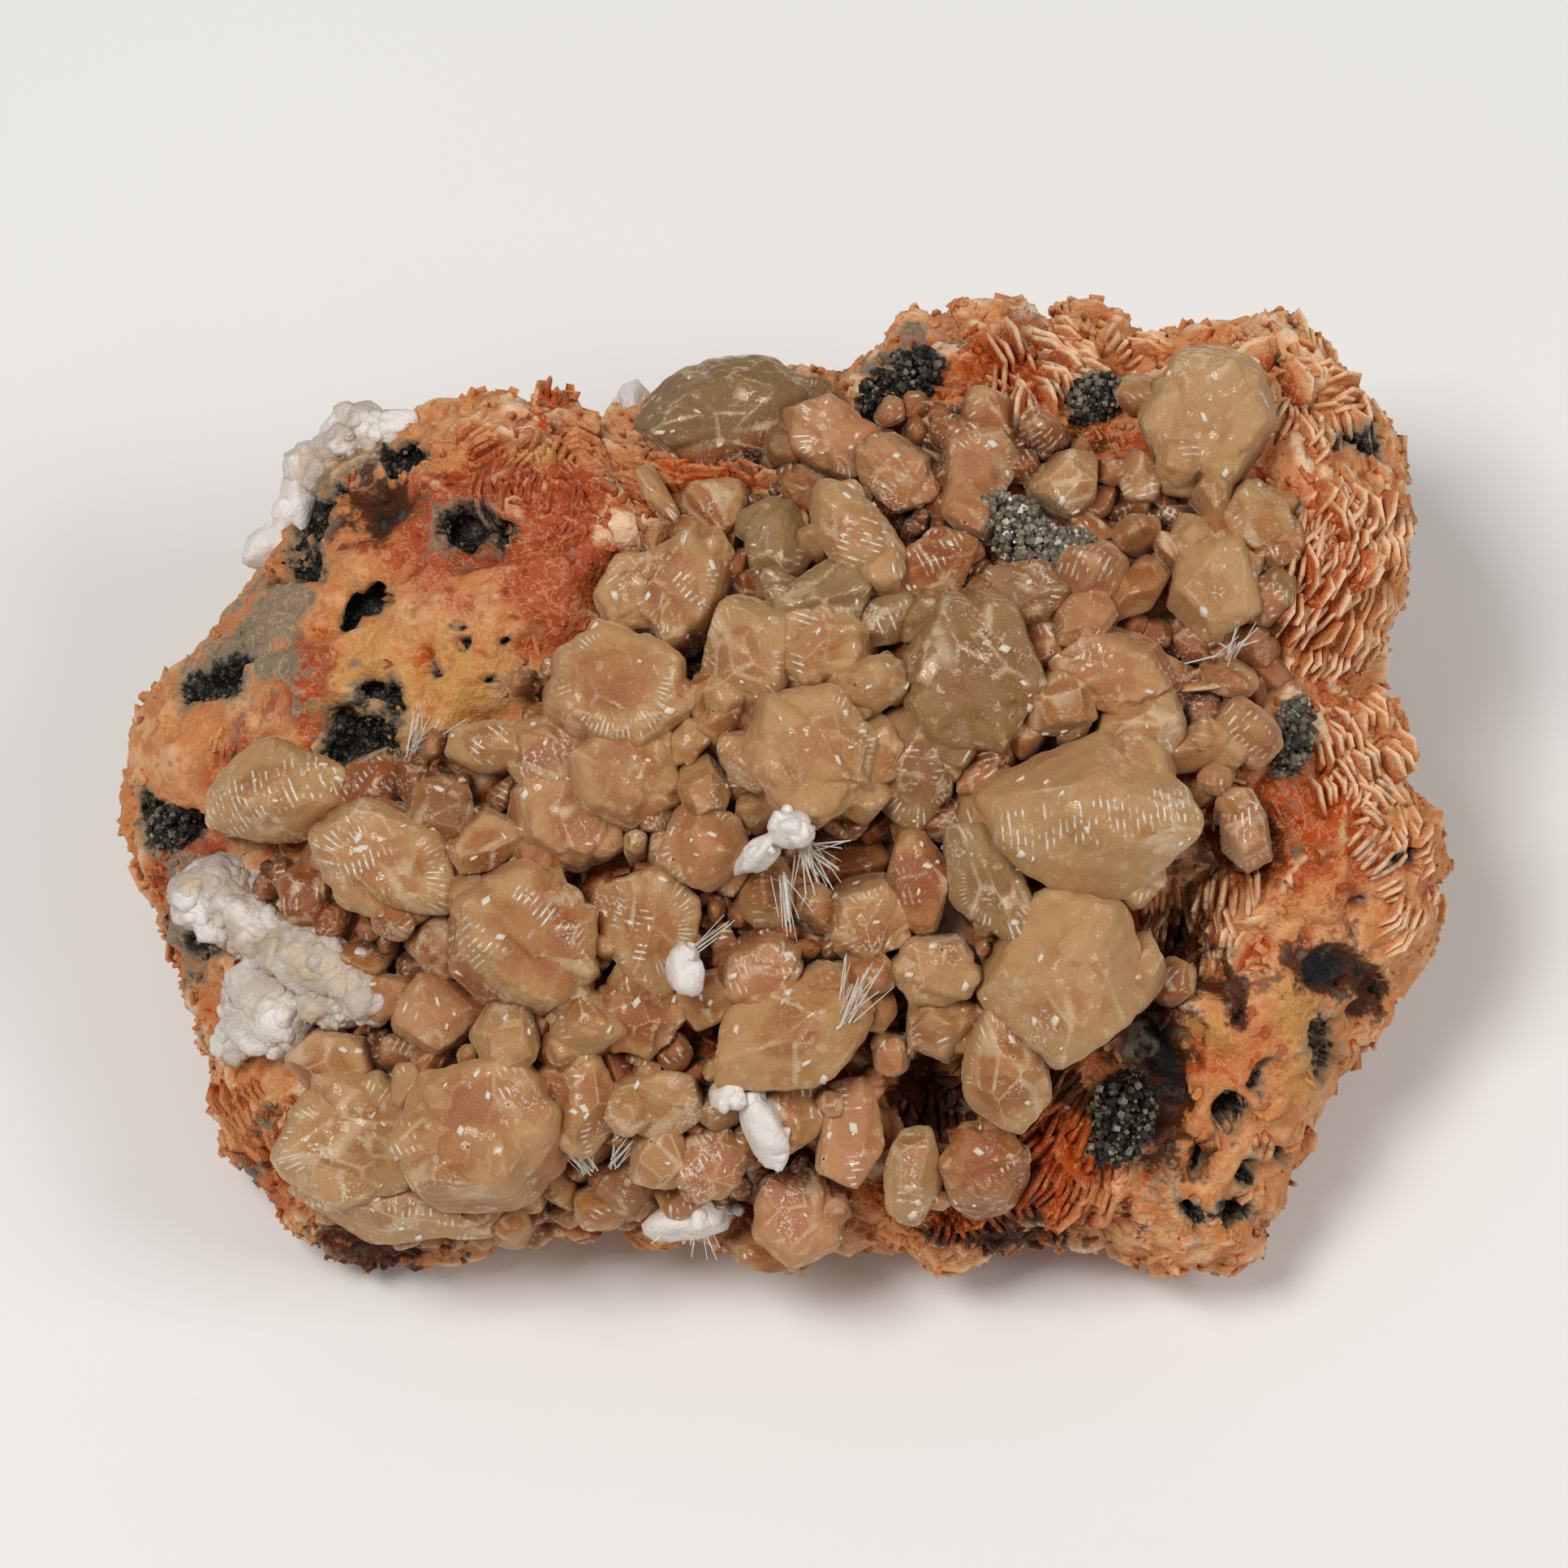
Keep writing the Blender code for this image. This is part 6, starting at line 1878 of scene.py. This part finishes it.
@dataclass
class Fillers:
    """Small crystals that crowd the hollows between the large ones, the larger of them first."""

    passes: tuple = (
        Fill(2.1, 1.04, 30, 26, 38), Fill(1.5, 0.98, 56, 20, 30), Fill(1.0, 0.94, 84, 14, 20),
        Fill(0.65, 0.90, 110, 10, 16),
    )
    tries: int = 2600
    seed: int = 500
    field: tuple = (
        (-3.0, -8.0, 23.0, 17.5), (10.0, 8.0, 15.5, 12.5), (-24.0, -8.0, 9.0, 9.0), (22.0, 9.0, 8.0, 11.0),
        (-16.0, -21.0, 13.0, 7.0), (8.0, 15.0, 14.0, 8.0),
    )
    bare: tuple = (
        (24.6, -9.0, 3.4), (20.8, -19.0, 4.0), (10.5, -27.5, 5.0), (9.3, -19.0, 2.4), (14.6, 15.0, 3.2),
    )
    farthest: float = 2.1
    crowding: float = 1.15

    def crystals(self) -> list[list[tuple[Crystal, int]]]:
        """Random crystals in the field's ovals, where there is room beside the ones before.

        Returns:
            For each pass, the crystals with their seeds.
        """
        draw = np.random.default_rng(self.seed)
        large = list(itertools.chain(*CERUSSITE.values()))
        made = []
        for step, fill in enumerate(self.passes):
            own: list[tuple[Crystal, int]] = []
            for _ in range(self.tries):
                centre_u, centre_v, across, up = self.field[draw.integers(len(self.field))]
                reach, angle = math.sqrt(draw.uniform()), draw.uniform(0.0, 2.0 * math.pi)
                u = centre_u + across * reach * math.cos(angle)
                v = centre_v + up * reach * math.sin(angle)
                away = [math.hypot(one.u - u, one.v - v) / one.half_length for one in large]
                crowded = any(math.hypot(one.u - u, one.v - v) < self.crowding * fill.size for one, _ in own)
                bare = any(math.hypot(spot[0] - u, spot[1] - v) < spot[2] for spot in self.bare)
                if min(away) < fill.clearance or min(away) > self.farthest or crowded or bare:
                    continue
                nearest = large[int(np.argmin(away))]
                size = fill.size * draw.uniform(0.75, 1.2)
                habit = (TABLET, BLOCK, ROUND, PLATE, LENS)[draw.integers(5)]
                honey = (nearest.honey, PALE, HONEY, HONEY, PINK, AMBER)[draw.integers(6)]
                rise = nearest.rise * draw.uniform(0.1, 0.7)
                crystal = Crystal(u, v, size, size * draw.uniform(0.6, 0.95), size * draw.uniform(1.1, 1.6),
                                  draw.uniform(0.0, 180.0), rise, habit, honey)
                own.append((crystal, self.seed + 1000 * step + len(own)))
                if len(own) == fill.count:
                    break
            large.extend(crystal for crystal, _ in own)
            made.append(own)
        return made


# Thin white crust about the left lobes, which the solids leave out
SPREADS = (
    Lobe(-30.3, -12.4, 4.4, 3.0, 1.5, 20, 1.0),
    Lobe(-33.4, -15.0, 2.6, 1.8, 1.4, 60, 0.8),
    Lobe(-34.2, -7.4, 3.4, 2.4, 1.5, 20, 0.8),
    Lobe(-27.4, -12.9, 2.6, 2.0, 1.5, 10, 1.2),
    Lobe(-24.6, 22.2, 2.4, 1.2, 1.2, 10, 0.3),
)


@dataclass
class Crusts:
    """White crust: each lobe of a solid covered in small round knobs, like a cauliflower."""

    knobs: int = 34
    few_knobs: int = 5
    small: float = 1.5
    rings: int = 12
    segments: int = 18
    seed: int = 2000
    seed_step: int = 10
    lumpiness: float = 0.34

    def knob_field(self, lobe: Lobe, seed: int, knobs: int) -> tuple[Array, Array, Array]:
        """Knobs over one lobe: balls centred on its skin, pushed in and out at random.

        Args:
            lobe: the lobe.
            seed: picks the random numbers.
            knobs: how many.

        Returns:
            World points for each knob's net, its triangles, and how stained each knob is.
        """
        draw = np.random.default_rng(seed)
        middle, axes, halves = seat(lobe, draw)
        outward = unit(draw.normal(size=(knobs, 3)) + (0.0, 0.0, 0.5))
        outward[0] = (0.0, 0.0, 0.0)
        size = halves.min() * draw.uniform(0.2, 0.75, knobs) ** 1.2
        size[0] = halves.min() * 0.92
        centres = outward * (halves - 0.75 * size[:, None])
        units, triangles = ball_units(self.rings, self.segments)
        lumpy = 1.0 + self.lumpiness * smooth_random(units[None] * 1.6 + centres[:, None] * 3.0, 0.9, seed)
        stretch = np.where(np.arange(knobs)[:, None] == 0, halves / halves.min(), 1.0)
        own = centres[:, None] + units[None] * (lumpy * size[:, None])[..., None] * stretch[:, None]
        points = FACE.to_world(middle + own @ axes)
        return points, triangles, np.clip(draw.normal(0.1, 0.3, knobs), 0.0, 1.0)

    def make(self, lobes: Iterable[Lobe], index: int) -> Draft:
        """Builds one crust's mesh.

        Args:
            lobes: its lobes.
            index: its place among the crusts, which picks its seeds.

        Returns:
            The mesh.
        """
        draft = Draft(smooth=True)
        for step, lobe in enumerate(lobes):
            seed = self.seed + self.seed_step * index + step
            knobs = self.knobs if lobe.half_width > self.small else self.few_knobs
            points, triangles, stain = self.knob_field(lobe, seed, knobs)
            crusted = np.full(points.shape[:-1], float(knobs > self.few_knobs))
            draft.add(points, triangles, stain=crusted * stain[:, None], crusted=crusted)
        return draft


# How much greyer than black these lumps are; on the greyest, their brightest cubes reach the painted glints
GREY_ORE = {"galena_grey": 0.6, "galena_right": 0.4, "galena_top_right": 0.15}


@dataclass
class Lumps:
    """Galena: each lobe of a solid packed with small worn cubes."""

    cubes: int = 600
    cube_sizes: tuple = (0.08, 0.28)
    speck_count: int = 1500
    speck_sizes: tuple = (0.06, 0.22)
    speck_sunk: float = 0.1
    speck_proud: float = 0.08
    speck_oval: float = 0.05
    seed: int = 3000
    seed_step: int = 10
    speck_seed: int = 3500

    def cube_field(self, middle: Array, axes: Array, halves: Array, count: int, sizes: tuple[float, float],
                   draw: np.random.Generator) -> tuple[Array, Array, Array]:
        """Cubes turned every way, centred in an oval.

        Args:
            middle: the oval's middle in the face frame.
            axes: its axes.
            halves: its half sizes.
            count: how many cubes.
            sizes: smallest and largest half size of a cube.
            draw: the source of chance.

        Returns:
            World points of each cube's net, triangles, and each cube's brightness.
        """
        outward = unit(draw.normal(size=(count, 3))) * (draw.uniform(0.0, 1.0, (count, 1)) ** (1.0 / 3.0))
        size = draw.uniform(*sizes, count)
        centres = outward * np.maximum(halves - 0.6 * size[:, None], 0.05)
        units, triangles = ball_units(2, 4)
        corner = unit(units) * np.where(np.abs(units[:, 2:3]) > 0.9, 0.9, 1.25)
        first = unit(draw.normal(size=(count, 3)))
        second = unit(np.cross(first, draw.normal(size=(count, 3))))
        frames = np.stack((first, second, np.cross(first, second)), axis=1)
        own = np.einsum("pi,cij->cpj", corner, frames) * size[:, None, None] + centres[:, None]
        return FACE.to_world(middle + own @ axes), triangles, draw.uniform(0.0, 1.0, count) ** 2

    def make(self, lobes: Iterable[Lobe], index: int, greyness: float) -> Draft:
        """Builds one lump's mesh.

        Args:
            lobes: its lobes.
            index: its place among the lumps, which picks its seeds.
            greyness: how much greyer than black it is.

        Returns:
            The mesh.
        """
        draft = Draft(smooth=False)
        for step, lobe in enumerate(lobes):
            draw = np.random.default_rng(self.seed + self.seed_step * index + step)
            points, triangles, bright = self.cube_field(*seat(lobe, draw), self.cubes, self.cube_sizes, draw)
            bright = np.broadcast_to(bright[:, None] + greyness, points.shape[:-1])
            draft.add(points, triangles, bright=bright)
        return draft

    def specks(self, rock: Rock) -> Draft:
        """Small cubes in the pits and black patches of the rock.

        Args:
            rock: the rock.

        Returns:
            The mesh.
        """
        draft = Draft(smooth=False)
        draw = np.random.default_rng(self.speck_seed)
        chance = smooth_step(rock.masks["galena"], 0.4, 0.9) * (rock.grid[..., 2] > 1.0)
        places, normals = Blades(rock).seats(chance, self.speck_count, draw)
        points, triangles, bright = self.cube_field(
            np.zeros((1, 3)), np.eye(3), np.full(3, self.speck_oval), len(places), self.speck_sizes, draw)
        centres = places + normals * draw.uniform(-self.speck_sunk, self.speck_proud, (len(places), 1))
        moved = points + (centres[:, None] * MM - FACE.centre * MM)
        draft.add(moved, triangles, bright=np.broadcast_to(bright[:, None], points.shape[:-1]))
        return draft


class Spray(NamedTuple):
    """A spray of needles: foot, rise over the face, length, way it points, spread and how many."""

    u: float
    v: float
    rise: float
    length: float
    turn: float
    climb: float
    spread: float
    count: int


SPRAYS = (
    Spray(1.6, -4.4, 6.6, 2.6, -60, 30, 0.9, 26),
    Spray(0.0, -6.4, 5.4, 2.8, -80, 25, 0.25, 12),
    Spray(-4.8, -9.6, 5.6, 2.4, 40, 35, 0.25, 7),
    Spray(-12.4, -23.0, 2.6, 2.8, 125, 40, 0.5, 16),
    Spray(-10.2, -22.6, 2.2, 2.2, 60, 30, 0.4, 10),
    Spray(4.0, -13.4, 5.6, 3.0, 70, 30, 0.35, 18),
    Spray(-22.2, 2.6, 0.6, 2.4, 60, 35, 0.7, 22),
    Spray(-5.6, -27.0, 2.6, 2.2, 250, 25, 0.9, 22),
    Spray(27.2, 8.6, 3.4, 1.6, 60, 40, 0.9, 12),
)


@dataclass
class Needles:
    """Fine clear needles in sprays."""

    radius: float = 0.05
    sunk: float = 1.0
    sides: int = 5
    taper: float = 0.55
    foot_scatter: float = 0.28
    seed: int = 700

    def make(self) -> Draft:
        """Grows all needles: a five-sided rod along each direction that narrows to its tip.

        Returns:
            The mesh.
        """
        draft = Draft(smooth=False)
        draw = np.random.default_rng(self.seed)
        around = np.arange(self.sides) * 2.0 * math.pi / self.sides
        for spray in SPRAYS:
            turn, climb = math.radians(spray.turn), math.radians(spray.climb)
            level = math.cos(climb)
            main = np.array((level * math.cos(turn), level * math.sin(turn), math.sin(climb)))
            run = unit(main + draw.normal(0.0, spray.spread * 0.5, (spray.count, 3)))
            side = unit(np.cross(run, draw.normal(size=run.shape)))
            other = np.cross(run, side)
            foot = np.array((spray.u, spray.v, FACE.height_at(spray.u, spray.v) + spray.rise))
            foot = foot + draw.normal(0.0, self.foot_scatter, run.shape) - main * self.sunk
            length = spray.length * draw.uniform(0.5, 1.1, spray.count) + self.sunk
            radius = self.radius * draw.uniform(0.6, 1.6, spray.count)
            ring = side[:, None] * np.cos(around)[:, None] + other[:, None] * np.sin(around)[:, None]
            parts = []
            for share, width in ((1.0, self.taper), (0.0, 1.0)):
                middle = foot[:, None] + run[:, None] * (length * share)[:, None, None]
                parts.append(middle + ring * (radius * width)[:, None, None])
            tip = foot + run * (length + 2.0 * radius)[:, None]
            points = np.concatenate((*parts, tip[:, None], foot[:, None]), axis=1)
            draft.add(FACE.to_world(points), net_triangles(2, self.sides))
        return draft


@dataclass(frozen=True)
class Studio:
    """The floor, the lights and the camera that looks straight at the crystal face."""

    lens: float = 180.0
    sensor: float = 36.0
    frame_width: float = 96.6
    plane: float = 6.0
    clip: tuple = (0.01, 20.0)
    floor_size: float = 4.0
    floor_points: int = 9
    floor_colour: tuple = srgb(240, 238, 234)
    floor_shade: tuple = srgb(236, 234, 230)
    floor_roughness: float = 0.75
    lamps: tuple = (("key", (-0.22, 0.16, 0.6), 0.2, 2.5), ("fill", (0.42, 0.1, 0.5), 0.26, 1.3))
    sky: float = 0.28

    def camera(self) -> None:
        """Places the camera on the face's own axis, so that the frame is its width at the plane."""
        away = self.frame_width * self.lens / self.sensor + self.plane
        spot = FACE.to_world(np.array((0.0, 0.0, away)))
        data = bpy.data.cameras.new("camera")
        data.lens = self.lens
        data.sensor_width = self.sensor
        data.clip_start, data.clip_end = self.clip
        made = bpy.data.objects.new("camera", data)
        made.location = spot
        made.rotation_euler = (math.pi / 2.0 - FACE.rise, 0.0, 0.0)
        bpy.context.scene.collection.objects.link(made)
        bpy.context.scene.camera = made

    def lamp(self, name: str, place: tuple[float, float, float], size: float, power: float) -> None:
        """A square soft light aimed at the specimen.

        Args:
            name: the light's name.
            place: its place in the face frame in metres.
            size: its side in metres.
            power: its power in watts.
        """
        data = bpy.data.lights.new(name, "AREA")
        data.shape, data.size, data.energy = "SQUARE", size, power
        made = bpy.data.objects.new(name, data)
        made.location = spot = FACE.to_world(np.array(place) / MM)
        way = unit(FACE.centre * MM - spot)
        made.rotation_euler = Vector(-way).to_track_quat("Z", "Y").to_euler()
        bpy.context.scene.collection.objects.link(made)

    def floor(self) -> None:
        """A plain pale floor under the specimen, as a gently uneven sheet so large that it has no edge."""
        steps = np.linspace(-self.floor_size / 2.0, self.floor_size / 2.0, self.floor_points)
        points = np.stack((*np.meshgrid(steps, steps, indexing="ij"), np.zeros((len(steps),) * 2)), axis=-1)
        index = np.arange(len(steps) ** 2).reshape(len(steps), -1)
        a, b, c, d = index[:-1, :-1], index[1:, :-1], index[1:, 1:], index[:-1, 1:]
        halves = [np.stack(corners, axis=-1).reshape(-1, 3) for corners in ((a, b, c), (a, c, d))]
        board = Board("floor")
        cloud = board.noise(board.place(), 6.0, 2.0)
        board.set(
            Base_Color=board.mix(cloud.step(0.3, 0.7), self.floor_colour, self.floor_shade),
            Roughness=self.floor_roughness,
        )
        draft = Draft(smooth=False)
        draft.add(points.reshape(-1, 3), np.concatenate(halves))
        draft.finish("floor", board.material)

    def make(self) -> None:
        """Sets up the floor, the lights, the sky and how the picture is shown."""
        self.camera()
        self.floor()
        for lamp in self.lamps:
            self.lamp(*lamp)
        world = bpy.data.worlds.new("sky")
        world.use_nodes = True
        background = world.node_tree.nodes["Background"]
        background.inputs["Color"].default_value = (1.0, 1.0, 1.0, 1.0)
        background.inputs["Strength"].default_value = self.sky
        bpy.context.scene.world = world
        bpy.context.scene.view_settings.view_transform = "Standard"


def carry(name: str, draft: Draft, material: bpy.types.Material, slot: str, *nodes: str) -> None:
    """Finishes a piece, which rides on the specimen.

    Args:
        name: the piece's name.
        draft: its mesh.
        material: its finish.
        slot: not used.
        nodes: the nodes that it stands for, if any.
    """
    piece = draft.finish(name, material)
    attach(piece, "root")
    if nodes:
        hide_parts(*nodes)


def main() -> None:
    """Builds the studio, and the specimen's pieces in order."""
    logging.basicConfig(level=logging.INFO, format="%(message)s")
    Studio().make()
    barite = BariteFinish().make()
    cerussite = CerussiteFinish().make()
    white = WhiteFinish().make()
    ore = GalenaFinish().make()
    clear = NeedleFinish().make()

    rock = Rock()
    carry("barite_rock", rock.make(), barite, "barite", "barite_matrix")
    blades = Blades(rock)
    for name, (banks, seed, paleness) in SHEAVES.items():
        carry(name, blades.sheaves(banks, seed, paleness), barite, "barite")
    carry("barite_grains_face", blades.grains(rock.front_chance(), FACE_GRAINS), barite, "barite")
    carry("barite_grains_side", blades.grains(rock.side_chance(), SIDE_GRAINS), barite, "barite")

    growth = Growth()
    seeds = itertools.count(growth.first_seed)
    for node, crystals in CERUSSITE.items():
        own = [(crystal, next(seeds)) for crystal in crystals]
        draft = growth.make(own, growth.rings, growth.segments, budding=True)
        carry(f"crystal_{node}", draft, cerussite, "cerussite", f"cerussite_{node}")
    small = [(crystal, SMALL_SEED + index) for index, crystal in enumerate(SMALL_CRYSTALS)]
    carry("crystals_small", growth.make(small, *SMALL_NET), cerussite, "cerussite")
    fillers = Fillers()
    for step, (fill, own) in enumerate(zip(fillers.passes, fillers.crystals())):
        draft = growth.make(own, fill.rings, fill.segments)
        carry(f"crystals_between_{step}", draft, cerussite, "cerussite")

    crusts = Crusts()
    for index, (node, lobes) in enumerate(CRUST.items()):
        carry(f"crust_{node}", crusts.make(lobes, index), white, "white_crust", node)
    carry("crust_spread", crusts.make(SPREADS, len(CRUST)), white, "white_crust")
    lumps = Lumps()
    for index, (node, lobes) in enumerate(GALENA.items()):
        carry(f"ore_{node}", lumps.make(lobes, index, GREY_ORE.get(node, 0.0)), ore, "galena", node)
    carry("galena_specks", lumps.specks(rock), ore, "galena")
    carry("needles", Needles().make(), clear, "cerussite")


if __name__ == "__main__":
    main()
